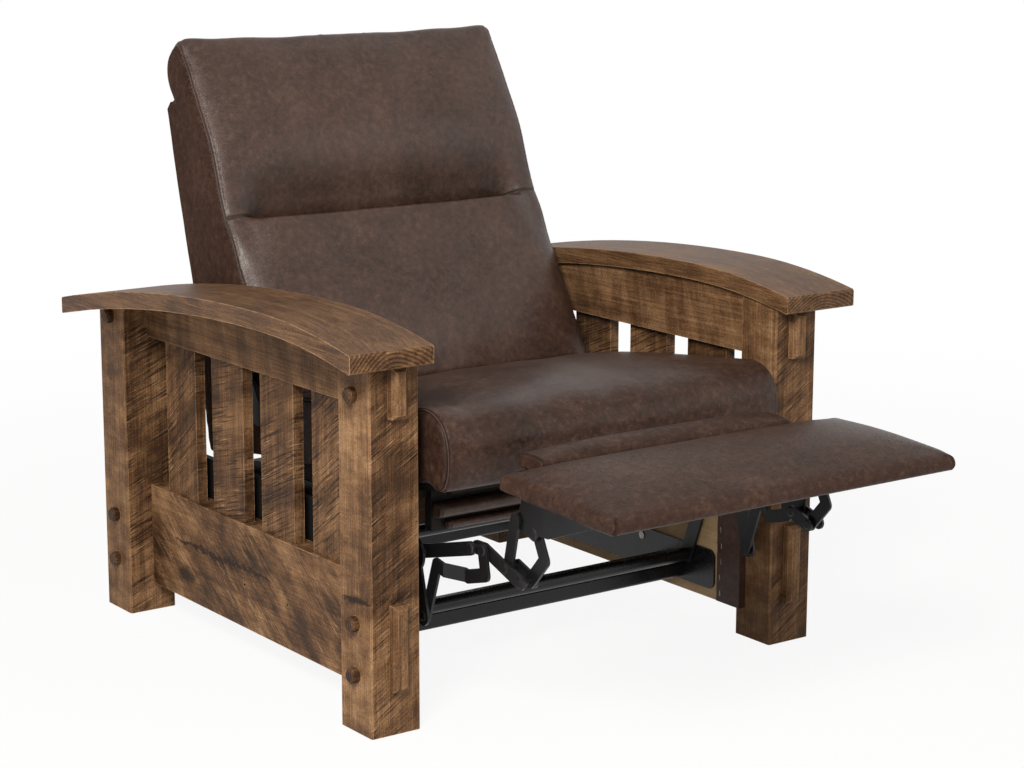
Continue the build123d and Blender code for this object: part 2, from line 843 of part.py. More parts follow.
def make_riser(side):
    """The upright link behind, with the rivet that holds the footrest bracket."""
    with BuildPart() as link:
        with BuildSketch(side_plane(side, riser_outer)):
            add(slot_between((riser_foot, riser_top), link_width))
            with Locations(at(*riser_foot)):
                Circle(rivet_diameter / 2 + pivot_clearance, mode=Mode.SUBTRACT)
        extrude(amount=-side * steel)
        add(rivet(side, riser_top, riser_outer, bracket_outer - steel,
                  rivet_diameter - 2 * open_pivot_clearance, outer_head=False))
    return link.part


def make_leg(side):
    """The bowed link in front, with the rivet that holds the footrest bracket."""
    with BuildPart() as link:
        with BuildSketch(side_plane(side, leg_outer)):
            add(slot_between((drive_tip, leg_bow, leg_top), link_width))
            with Locations(at(*drive_tip)):
                Circle(rivet_diameter / 2 + pivot_clearance, mode=Mode.SUBTRACT)
        extrude(amount=-side * steel)
        add(rivet(side, leg_top, bracket_outer, leg_outer - steel))
    return link.part


# Footrest and flipper

def footrest_at(forward, up):
    """A side point on the footrest, forward along it and up square to it."""
    tilt = radians(footrest_tilt)
    return (-footrest_rear_reach - forward * cos(tilt) - up * sin(tilt),
            footrest_underside - forward * sin(tilt) + up * cos(tilt))


flipper_pin = footrest_at(flipper_pin_forward, -flipper_pin_drop)


def make_bracket(side):
    """The plate and flange that carry the footrest board, with the flipper lug."""
    flange_rear = -flipper_pin_forward / 2
    heel = footrest_at(0, -steel)
    plate_top_rear = footrest_at(0, 0)
    plate_top_front = footrest_at(bracket_flange_length, 0)
    plate_low_front = footrest_at(bracket_flange_length, -2 * steel)
    with BuildPart() as bracket:
        with BuildSketch(side_plane(side, bracket_outer)):
            with BuildLine():
                Polyline(at(*plate_top_rear), at(*plate_top_front), at(*plate_low_front),
                         at(leg_top[0] - bracket_heel, leg_top[1]),
                         at(*leg_top), at(*riser_top), at(*heel), close=True)
            make_face()
            add(slot_between((leg_top, riser_top), link_width))
            with Locations(at(*leg_top), at(*riser_top)):
                Circle(rivet_diameter / 2 + pivot_clearance, mode=Mode.SUBTRACT)
        extrude(amount=-side * steel)
        with BuildSketch(side_plane(side, bracket_outer - steel)):
            with BuildLine():
                Polyline(at(*footrest_at(flange_rear, 0)),
                         at(*footrest_at(bracket_flange_length, 0)),
                         at(*footrest_at(bracket_flange_length, -steel)),
                         at(*footrest_at(flange_rear, -steel)), close=True)
            make_face()
        extrude(amount=-side * bracket_flange_width)
        with BuildSketch(side_plane(side, lug_outer)):
            add(slot_between((flipper_pin, footrest_at(flipper_pin_forward + flipper_arm_width,
                                                       -steel)), flipper_arm_width))
            with BuildLine():
                Polyline(at(*footrest_at(-cut_overrun * 5, 0)),
                         at(*footrest_at(bracket_flange_length, 0)),
                         at(*footrest_at(bracket_flange_length, flipper_arm_width * 3)),
                         at(*footrest_at(-cut_overrun * 5, flipper_arm_width * 3)), close=True)
            make_face(mode=Mode.SUBTRACT)
        extrude(amount=-side * steel)
        add(rivet(side, flipper_pin, lug_outer, flipper_arm_outer - steel,
                  flipper_pin_diameter, outer_head=False, inner_head=False))
    return bracket.part


def pad_section(plane, place, rear, length, low, edge, crown, nose):
    """One cross section of a thin pad: flat below, round in front, crowned on top."""
    low_rear = place(rear, low)
    low_front = place(rear + length, low)
    top_rear = place(rear, low + edge)
    top_front = place(rear + length, low + edge)
    nose_point = place(rear + length + nose, low + edge / 2)
    heel_point = place(rear - nose / 3, low + edge / 2)
    crown_point = place(rear + length / 2, low + edge + crown)
    with BuildSketch(plane) as section:
        with BuildLine():
            Line(at(*low_rear), at(*low_front))
            ThreePointArc(at(*low_front), at(*nose_point), at(*top_front))
            ThreePointArc(at(*top_front), at(*crown_point), at(*top_rear))
            ThreePointArc(at(*top_rear), at(*heel_point), at(*low_rear))
        make_face()
    return section.sketch


def make_pad(place, half, rear, length, low, edge, crown, nose, board):
    """A thin upholstered pad, crowned both ways, with a pocket for its board."""
    board_thickness, board_margin = board
    stations = (-1, -0.8, 0, 0.8, 1)
    crown_shares = (0.12, 0.7, 1, 0.7, 0.12)
    with BuildPart() as pad:
        for station, share in zip(stations, crown_shares):
            pad_section_here = pad_section(Plane.YZ.offset(station * half), place, rear, length,
                                           low, edge, crown * share, nose)
            add(pad_section_here)
        loft()
        with BuildSketch(Plane.YZ.offset(-half + board_margin - seat_gap)):
            with BuildLine():
                Polyline(at(*place(rear + board_margin - seat_gap, low)),
                         at(*place(rear + length - board_margin + seat_gap, low)),
                         at(*place(rear + length - board_margin + seat_gap,
                                   low + board_thickness + seat_gap)),
                         at(*place(rear + board_margin - seat_gap,
                                   low + board_thickness + seat_gap)), close=True)
            make_face()
        extrude(amount=2 * (half - board_margin + seat_gap), mode=Mode.SUBTRACT)
    return pad.part


def make_board(place, half, rear, length, low, thickness, margin):
    """The plywood board inside a pad."""
    with BuildPart() as board:
        with BuildSketch(Plane.YZ.offset(-half + margin)):
            with BuildLine():
                Polyline(at(*place(rear + margin, low)),
                         at(*place(rear + length - margin, low)),
                         at(*place(rear + length - margin, low + thickness)),
                         at(*place(rear + margin, low + thickness)), close=True)
            make_face()
        extrude(amount=2 * (half - margin))
    return board.part


def make_flipper_arms():
    """The two arms that hinge the flipper pad behind the footrest."""
    board_low = flipper_lift
    margin = flipper_board_thickness
    with BuildPart() as arms:
        for side in SIDES.values():
            with BuildSketch(side_plane(side, flipper_arm_outer)):
                add(slot_between((flipper_pin, footrest_at(-flipper_gap - margin,
                                                           board_low - flipper_arm_width / 2)),
                                 flipper_arm_width))
                with BuildLine():
                    Polyline(at(*footrest_at(flipper_arm_width * 2, board_low)),
                             at(*footrest_at(-flipper_depth, board_low)),
                             at(*footrest_at(-flipper_depth, board_low + flipper_arm_width * 2)),
                             at(*footrest_at(flipper_arm_width * 2,
                                             board_low + flipper_arm_width * 2)), close=True)
                make_face(mode=Mode.SUBTRACT)
                with Locations(at(*flipper_pin)):
                    Circle(flipper_pin_diameter / 2 + pivot_clearance, mode=Mode.SUBTRACT)
            extrude(amount=-side * steel)
            with BuildSketch(side_plane(side, flipper_arm_outer)):
                with BuildLine():
                    foot_rear = -flipper_gap - margin - flipper_foot_length * 0.8
                    Polyline(at(*footrest_at(-flipper_gap - margin / 2, board_low)),
                             at(*footrest_at(foot_rear, board_low)),
                             at(*footrest_at(foot_rear, board_low - steel / 2)),
                             at(*footrest_at(-flipper_gap - margin / 2, board_low - steel / 2)),
                             close=True)
                make_face()
            extrude(amount=-side * bracket_flange_width)
    return arms.part


# Seat

def seat_at(setback, up):
    """A side point of the seat, set back along its slope and up square to it."""
    slope = radians(seat_slope)
    return (setback * cos(slope) + up * sin(slope),
            seat_front_height - setback * sin(slope) + up * cos(slope))


def cushion_stations(half):
    """Places across a cushion, each with its shares of the side draw and of the crown."""
    right = [(half * place_share, draw_share, crown_share)
             for place_share, draw_share, crown_share in side_station_shares]
    left = [(-x, draw_share, crown_share) for x, draw_share, crown_share in reversed(right)]
    return [*left, (0, 0, 1), *right]


def under_seat(setback):
    """Height of the seat frame's top at a level setback."""
    slope = radians(seat_slope)
    return seat_front_height - setback * tan(slope) - seat_gap / cos(slope)


def seat_section(x, draw, crown):
    """One cross section of the seat cushion, drawn in by a length all round."""
    rear_lean = radians(recline - recline_travel - seat_slope)
    rear_top_setback = seat_rear_setback - seat_gap - draw
    rear_top = seat_at(rear_top_setback, seat_thickness - draw)
    rear_low = seat_at(rear_top_setback - (seat_thickness - draw) * tan(rear_lean), 0)
    low_front = seat_at(-seat_front_reach + draw, 0)
    top_front = seat_at(draw, seat_thickness - draw)
    bulge = seat_at(-seat_front_reach - seat_bulge + draw * 2, seat_thickness / 2)
    crown_point = share_between(top_front, rear_top, 0.4)
    crown_point = (crown_point[0] + crown * sin(radians(seat_slope)),
                   crown_point[1] + crown * cos(radians(seat_slope)))
    with BuildSketch(Plane.YZ.offset(x)) as section:
        with BuildLine():
            Line(at(*low_front), at(*rear_low))
            Line(at(*rear_low), at(*rear_top))
            ThreePointArc(at(*rear_top), at(*crown_point), at(*top_front))
            ThreePointArc(at(*top_front), at(*bulge), at(*low_front))
        make_face()
    return section.sketch


def make_seat_cushion():
    """The seat cushion: rolled front, crowned top and drawn-in ends."""
    with BuildPart() as cushion:
        for x, draw_share, crown_share in cushion_stations(seat_half_width):
            add(seat_section(x, seat_side_draw * draw_share, seat_crown * crown_share))
        loft()
    return cushion.part


def sloped_bar(start, end, low, high):
    """Side outline of a bar that lies along the seat's slope."""
    with BuildSketch() as outline:
        with BuildLine():
            Polyline(at(*seat_at(start, low)), at(*seat_at(end, low)),
                     at(*seat_at(end, high)), at(*seat_at(start, high)), close=True)
        make_face()
    return outline.sketch


def make_seat_frame():
    """The wooden box under the seat cushion, with its front board."""
    low = -seat_gap - frame_rail_depth
    high = -seat_gap
    nosing_rear = apron_setback + apron_thickness
    with BuildPart() as frame:
        with BuildSketch(Plane.YZ.offset(-frame_half_width)):
            add(sloped_bar(nosing_rear, frame_rear_setback, low, high))
        extrude(amount=2 * frame_half_width)
        with BuildSketch(Plane.YZ.offset(-frame_half_width + frame_rail_thickness)):
            add(sloped_bar(nosing_rear + frame_rail_thickness,
                           frame_rear_setback - frame_rail_thickness,
                           low - cut_overrun, high + cut_overrun))
        extrude(amount=2 * (frame_half_width - frame_rail_thickness), mode=Mode.SUBTRACT)
        with BuildSketch(Plane.YZ.offset(-nosing_half_width)):
            add(sloped_bar(-frame_front_reach, nosing_rear, low + frame_rail_depth / 2, high))
        extrude(amount=2 * nosing_half_width)
        with BuildSketch(Plane.YZ.offset(-roll_half_width)):
            with BuildLine():
                Polyline(at(apron_setback, apron_bottom),
                         at(nosing_rear, apron_bottom),
                         at(nosing_rear, under_seat(nosing_rear)),
                         at(apron_setback, under_seat(apron_setback)), close=True)
            make_face()
        extrude(amount=2 * roll_half_width)
    return frame.part


def spring_path(lateral):
    """The zigzag line of one seat spring, on the seat's slope."""
    start = apron_setback + apron_thickness + frame_rail_thickness
    end = frame_rear_setback - frame_rail_thickness
    pitch = (end - start - 2 * spring_lead) / spring_turns
    points = [(lateral, start), (lateral, start + spring_lead)]
    for i in range(spring_turns):
        swing = spring_swing / 2 if i % 2 else -spring_swing / 2
        points.append((lateral + swing, start + spring_lead + pitch * (i + 0.5)))
    return points + [(lateral, end - spring_lead), (lateral, end)]


def make_springs():
    """Zigzag wire springs from the front to the rear rail of the seat frame."""
    drop = seat_gap + frame_rail_depth / 2
    slope = radians(seat_slope)
    origin_y, origin_z = at(*seat_at(0, -drop))
    plane = Plane(origin=(0, origin_y, origin_z), x_dir=(1, 0, 0),
                  z_dir=(0, sin(slope), cos(slope)))
    spacing = 2 * (frame_half_width - frame_rail_thickness) / (spring_count + 1)
    with BuildPart() as springs:
        for i in range(spring_count):
            lateral = spacing * (i + 1) - frame_half_width + frame_rail_thickness
            with BuildLine(plane) as path:
                FilletPolyline(*spring_path(lateral), radius=spring_wire * 1.6)
            with BuildSketch(path.line ^ 0):
                Circle(spring_wire / 2)
            sweep(path=path.line)
    return springs.part


def make_roll(half, diameter, height):
    """A leather roll across the front, round in front and flat behind."""
    radius = diameter / 2
    nose = apron_setback - diameter
    with BuildPart() as roll:
        with BuildSketch(Plane.YZ.offset(-half)):
            with BuildLine():
                Line(at(apron_setback, height - radius), at(nose + radius, height - radius))
                ThreePointArc(at(nose + radius, height - radius), at(nose, height),
                              at(nose + radius, height + radius))
                Line(at(nose + radius, height + radius), at(apron_setback, height + radius))
                Line(at(apron_setback, height + radius), at(apron_setback, height - radius))
            make_face()
        extrude(amount=2 * half)
    return roll.part


# Back

def back_at(up, depth):
    """A side point of the reclined back, up its front face and in behind it."""
    lean = radians(recline)
    return (back_seam_setback + up * sin(lean) + depth * cos(lean),
            back_seam_height + up * cos(lean) - depth * sin(lean))


def back_section(x, draw, bulge_share):
    """One cross section of the back cushion, with the sewn channel under the head."""
    foot = cushion_foot + draw
    top = cushion_top - draw
    head_top = top - cushion_depth * 0.3
    groove = channel_depth * bulge_share + draw
    with BuildSketch(Plane.YZ.offset(x)) as section:
        with BuildLine():
            Line(at(*back_at(foot, cushion_depth)), at(*back_at(foot, draw)))
            ThreePointArc(at(*back_at(foot, draw)),
                          at(*back_at((foot + head_channel) / 2, draw - lumbar_bulge * bulge_share)),
                          at(*back_at(head_channel, groove)))
            ThreePointArc(at(*back_at(head_channel, groove)),
                          at(*back_at((head_channel + top) / 2, draw - head_bulge * bulge_share)),
                          at(*back_at(top, draw)))
            ThreePointArc(at(*back_at(top, draw)),
                          at(*back_at(top + draw * 0.2, cushion_top_depth / 2)),
                          at(*back_at(head_top, cushion_top_depth)))
            Line(at(*back_at(head_top, cushion_top_depth)),
                 at(*back_at(head_top - cushion_depth, cushion_depth)))
            Line(at(*back_at(head_top - cushion_depth, cushion_depth)),
                 at(*back_at(foot, cushion_depth)))
        make_face()
    return section.sketch


def make_back_cushion():
    """The back cushion, with a puffed head section over a sewn channel."""
    with BuildPart() as cushion:
        for x, draw_share, crown_share in cushion_stations(back_half_width):
            add(back_section(x, cushion_side_draw * draw_share, crown_share))
        loft()
    return cushion.part


def back_box(foot, top, near, far):
    """Side outline of a flat board that lies along the back."""
    with BuildSketch() as outline:
        with BuildLine():
            Polyline(at(*back_at(foot, near)), at(*back_at(top, near)),
                     at(*back_at(top, far)), at(*back_at(foot, far)), close=True)
        make_face()
    return outline.sketch


board_near = cushion_depth + soft_gap
board_far = board_near + back_board_thickness


def make_back_board():
    """The plywood board of the back, which the cushion and the brackets are fixed to."""
    half = back_board_half_width
    with BuildPart() as board:
        with BuildSketch(Plane.YZ.offset(-half)):
            add(back_box(back_board_foot, back_board_top, board_near, board_far))
        extrude(amount=2 * half)
    return board.part


def make_outer_back():
    """The padded shell that closes the back from behind, hollow inside."""
    half = outer_back_half_width
    wall = outer_back_wall
    foot = back_at(outer_back_foot, board_near)
    tail = back_at(outer_back_tail, outer_back_tail_depth)
    middle = back_at(outer_back_mid, outer_back_mid_depth)
    top = back_at(outer_back_top, outer_back_top_depth)
    top_near = back_at(outer_back_top, board_near)
    inner_foot = back_at(outer_back_foot + wall * 2, board_far)
    inner_tail = back_at(outer_back_tail + wall / 2, outer_back_tail_depth - wall * 1.5)
    inner_middle = back_at(outer_back_mid, outer_back_mid_depth - wall)
    with BuildPart() as shell:
        with BuildSketch(Plane.YZ.offset(-half)):
            with BuildLine():
                Line(at(*foot), at(*tail))
                ThreePointArc(at(*tail), at(*middle), at(*top))
                Line(at(*top), at(*top_near))
                Line(at(*top_near), at(*foot))
            make_face()
        extrude(amount=2 * half)
        with BuildSketch(Plane.YZ.offset(-half)):
            add(back_box(back_board_foot - soft_gap, back_board_top,
                         board_near - cut_overrun, board_far))
        extrude(amount=2 * half, mode=Mode.SUBTRACT)
        with BuildSketch(Plane.YZ.offset(-half + wall)):
            with BuildLine():
                Polyline(at(*inner_foot), at(*back_at(hollow_top, board_far)),
                         at(*back_at(hollow_top, hollow_top_depth)), at(*inner_middle),
                         at(*inner_tail), close=True)
            make_face()
        extrude(amount=2 * (half - wall), mode=Mode.SUBTRACT)
    return shell.part


def make_back_bracket(side):
    """The steel arm that carries the back frame on the carriage plate."""
    outer = back_bracket_inner + steel
    elbow = back_at(back_bracket_heel, back_bracket_depth)
    top = back_at(back_bracket_top, back_bracket_depth)
    bolts = [back_at(height, (board_near + board_far) / 2) for height in back_bolt_heights]
    with BuildPart() as bracket:
        with BuildSketch(side_plane(side, outer)):
            add(slot_between((back_pivot, elbow, top), back_bracket_width))
        extrude(amount=-side * steel)
        with BuildSketch(side_plane(side, back_bracket_inner)):
            with Locations(*[at(*bolt) for bolt in bolts]):
                Circle(back_boss_diameter / 2)
        extrude(amount=-side * (back_bracket_inner - back_board_half_width))
        add(rivet(side, back_pivot, outer, carriage_plate_inner))
    return bracket.part


def build():
    """Make and write every piece."""
    for label, side in SIDES.items():
        save(make_post(side, 0), f"{label}_front_post")
        save(make_post(side, chair_depth - post_size), f"{label}_rear_post")
        save(make_rail(side, False), f"{label}_lower_rail")
        save(make_rail(side, True), f"{label}_upper_rail")
        save(make_slats(side), f"{label}_slats")
        save(make_arm(side), f"{label}_arm")
        save(make_panel(side), f"{label}_inner_panel")
        save(make_wrap(side), f"{label}_panel_wrap")
        save(make_base_rail(side), f"{label}_base_rail")
        save(make_swing_link(side, front_swing_foot, front_swing_top, False),
             f"{label}_front_swing_link")
        save(make_swing_link(side, rear_swing_foot, rear_swing_top, True),
             f"{label}_rear_swing_link")
        save(make_carriage_plate(side), f"{label}_carriage_plate")
        save(make_support_link(side), f"{label}_support_link")
        save(make_guide_strap(side), f"{label}_guide_strap")
        save(make_drive_link(side), f"{label}_drive_link")
        save(make_riser(side), f"{label}_riser_link")
        save(make_leg(side), f"{label}_leg_link")
        save(make_bracket(side), f"{label}_footrest_bracket")
        save(make_back_bracket(side), f"{label}_back_bracket")
    save(make_pegs(), "pegs")
    save(make_blocks(), "front_blocks")
    save(make_stretcher(), "rear_stretcher")
    save(make_cross_rail(front_cross_setback, front_cross_depth), "front_cross_rail")
    save(make_cross_rail(rear_cross_setback, rear_cross_depth), "rear_cross_rail")
    save(make_fasteners(), "base_fasteners")
    save(make_torque_tube(front_swing_foot), "front_torque_tube")
    save(make_torque_tube(rear_swing_foot), "rear_torque_tube")
    save(make_seat_frame(), "seat_frame")
    save(make_springs(), "seat_springs")
    save(make_seat_cushion(), "seat_cushion")
    save(make_roll(roll_half_width, roll_diameter, roll_height), "front_roll")
    save(make_roll(lower_roll_half_width, lower_roll_diameter, lower_roll_height), "lower_front_roll")
    save(make_back_board(), "back_board")
    save(make_back_cushion(), "back_cushion")
    save(make_outer_back(), "outer_back")
    save(make_board(footrest_at, footrest_half_width, 0, footrest_length, 0,
                    footrest_board_thickness, footrest_board_margin), "footrest_board")
    save(make_pad(footrest_at, footrest_half_width, 0, footrest_length, 0, footrest_edge_height,
                  footrest_crown, footrest_nose,
                  (footrest_board_thickness, footrest_board_margin)), "footrest_pad")
    flipper_rear = -flipper_gap - flipper_depth
    save(make_board(footrest_at, flipper_half_width, flipper_rear, flipper_depth, flipper_lift,
                    flipper_board_thickness, flipper_board_thickness), "flipper_board")
    save(make_pad(footrest_at, flipper_half_width, flipper_rear, flipper_depth, flipper_lift,
                  flipper_edge_height, flipper_crown, flipper_nose,
                  (flipper_board_thickness, flipper_board_thickness)), "flipper_pad")
    save(make_flipper_arms(), "flipper_arms")


build()
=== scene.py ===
import json
import math

import bmesh
import bpy
from mathutils import Matrix, Vector, kdtree, noise


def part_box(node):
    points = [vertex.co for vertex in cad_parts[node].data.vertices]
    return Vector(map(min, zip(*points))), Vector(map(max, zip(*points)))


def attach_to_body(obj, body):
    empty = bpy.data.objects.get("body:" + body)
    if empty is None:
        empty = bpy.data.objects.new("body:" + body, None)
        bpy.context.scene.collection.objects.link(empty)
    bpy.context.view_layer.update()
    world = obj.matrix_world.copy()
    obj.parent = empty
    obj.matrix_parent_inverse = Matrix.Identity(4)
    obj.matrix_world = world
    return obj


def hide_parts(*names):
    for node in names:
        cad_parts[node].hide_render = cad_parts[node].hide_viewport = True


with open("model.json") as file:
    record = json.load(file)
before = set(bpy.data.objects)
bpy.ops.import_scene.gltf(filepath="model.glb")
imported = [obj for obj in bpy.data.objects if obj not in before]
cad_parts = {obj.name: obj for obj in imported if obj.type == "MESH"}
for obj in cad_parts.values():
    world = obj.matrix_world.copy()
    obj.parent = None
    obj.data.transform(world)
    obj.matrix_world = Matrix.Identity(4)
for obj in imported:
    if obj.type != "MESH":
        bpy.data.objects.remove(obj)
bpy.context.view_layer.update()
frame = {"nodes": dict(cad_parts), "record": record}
nodes = frame["nodes"]
scene = bpy.context.scene
LEFT_RIGHT = {"left": -1, "right": 1}

# Where the chair's own slopes start, in metres
FRONT = -0.237112
BACK_LEAN = math.radians(30.7)
BACK_START = Vector((0, FRONT + 0.461, 0.447))
BACK_UP = Vector((0, math.sin(BACK_LEAN), math.cos(BACK_LEAN)))
BACK_DEEP = Vector((0, math.cos(BACK_LEAN), -math.sin(BACK_LEAN)))
SEAT_SLOPE = math.radians(7.4)
SEAT_START = Vector((0, FRONT, 0.388))
SEAT_RUN = Vector((0, math.cos(SEAT_SLOPE), -math.sin(SEAT_SLOPE)))
SEAT_UP = Vector((0, math.sin(SEAT_SLOPE), math.cos(SEAT_SLOPE)))
FOOT_TILT = math.radians(2.3)
FOOT_START = Vector((0, FRONT - 0.172, 0.4123))
FOOT_OUT = Vector((0, -math.cos(FOOT_TILT), -math.sin(FOOT_TILT)))
FOOT_UP = Vector((0, -math.sin(FOOT_TILT), math.cos(FOOT_TILT)))
ACROSS = Vector((1, 0, 0))

# Where seams and folds lie
SEAT_SEAM = 0.3315
BACK_SEAM = 0.3262
CHANNEL = 0.3245
HEAD_TOP = 0.615


# Wiring of materials

def put(tree, kind, values=(), **settings):
    """Add a node, set its properties, and fill or wire its inputs."""
    made = tree.nodes.new(kind)
    for name, value in settings.items():
        setattr(made, name, value)
    for socket, value in dict(values).items():
        feed(tree, made.inputs[socket], value)
    return made


def feed(tree, socket, value):
    """Wire a socket from another socket, or give it a plain value."""
    if isinstance(value, bpy.types.NodeSocket):
        tree.links.new(value, socket)
    else:
        socket.default_value = value


def calc(tree, operation, first, second=0.0, third=0.0):
    """One arithmetic step on numbers."""
    return put(tree, "ShaderNodeMath", {0: first, 1: second, 2: third}, operation=operation).outputs[0]


def times(tree, first, second):
    return calc(tree, "MULTIPLY", first, second)


def minus(tree, first, second):
    return calc(tree, "SUBTRACT", first, second)


def raise_by(tree, value, share, base):
    """A base raised by a share of a value."""
    return calc(tree, "MULTIPLY_ADD", value, share, base)


def size_of(tree, value):
    """A number without its sign."""
    return calc(tree, "ABSOLUTE", value)


def give(tree, result, **values):
    """Wire what an effect gives."""
    for name, value in values.items():
        feed(tree, result[name], value)
    return tree


def along(tree, point, direction):
    """How far a point lies along a direction."""
    return put(tree, "ShaderNodeVectorMath", {0: point, 1: direction},
               operation="DOT_PRODUCT").outputs["Value"]


def vector_of(tree, x, y, z):
    return put(tree, "ShaderNodeCombineXYZ", {0: x, 1: y, 2: z}).outputs[0]


def vector_calc(tree, operation, first, second):
    return put(tree, "ShaderNodeVectorMath", {0: first, 1: second}, operation=operation).outputs[0]


def vector_minus(tree, first, second):
    return vector_calc(tree, "SUBTRACT", first, second)


def vector_times(tree, first, second):
    return vector_calc(tree, "MULTIPLY", first, second)


def grainy(tree, vector, scale, detail=2.0, rough=0.5, output=0):
    """Noise over a vector."""
    made = put(tree, "ShaderNodeTexNoise", {"Vector": vector, "Scale": scale, "Detail": detail,
                                            "Roughness": rough})
    return made.outputs[output]


def eased(tree, value, low, high, to_low=0.0, to_high=1.0):
    """A value stretched from one range to another, smooth at both ends."""
    made = put(tree, "ShaderNodeMapRange", {"Value": value, "From Min": low, "From Max": high,
                                            "To Min": to_low, "To Max": to_high},
               interpolation_type="SMOOTHSTEP")
    return made.outputs["Result"]


def ramp(tree, value, stops):
    """Colours laid out along a value."""
    made = put(tree, "ShaderNodeValToRGB", {0: value})
    points = made.color_ramp.elements
    while len(points) < len(stops):
        points.new(0.5)
    for point, (place, colour) in zip(points, stops):
        point.position = place
        point.color = (*colour, 1)
    return made.outputs[0]


def blended(tree, share, first, second):
    return put(tree, "ShaderNodeMix", {0: share, 6: first, 7: second}, data_type="RGBA").outputs[2]


def effect(name, inputs, outputs):
    """An empty node group whose inputs take points where their first value is one, else numbers."""
    tree = bpy.data.node_groups.new(name, "ShaderNodeTree")
    for label, value in inputs.items():
        kind = "NodeSocketVector" if isinstance(value, tuple) else "NodeSocketFloat"
        tree.interface.new_socket(name=label, in_out="INPUT", socket_type=kind).default_value = value
    for label in outputs:
        tree.interface.new_socket(name=label, in_out="OUTPUT", socket_type="NodeSocketFloat")
    return tree, tree.nodes.new("NodeGroupInput").outputs, tree.nodes.new("NodeGroupOutput").inputs


def use(tree, group, values):
    """Place a node group in a material."""
    made = tree.nodes.new("ShaderNodeGroup")
    made.node_tree = group
    for socket, value in values.items():
        feed(tree, made.inputs[socket], value)
    return made.outputs


ORIGIN, X_WAY, Y_WAY, Z_WAY = (0, 0, 0), (1, 0, 0), (0, 1, 0), (0, 0, 1)


def edge_wear_effect():
    """Marks the edges that hands and cloths rub, unevenly."""
    tree, given, result = effect("rubbed_edges", {"Point": ORIGIN, "Radius": 0.003}, ["Mask"])
    rounded = put(tree, "ShaderNodeBevel", {"Radius": given["Radius"]}, samples=6).outputs[0]
    straight = tree.nodes.new("ShaderNodeNewGeometry").outputs["Normal"]
    turn = minus(tree, 1.0, along(tree, rounded, straight))
    edge = eased(tree, turn, 0.015, 0.22)
    patchy = eased(tree, grainy(tree, given["Point"], 34.0, 4.0, 0.65), 0.30, 0.62, 0.15, 1.0)
    return give(tree, result, Mask=times(tree, edge, patchy))


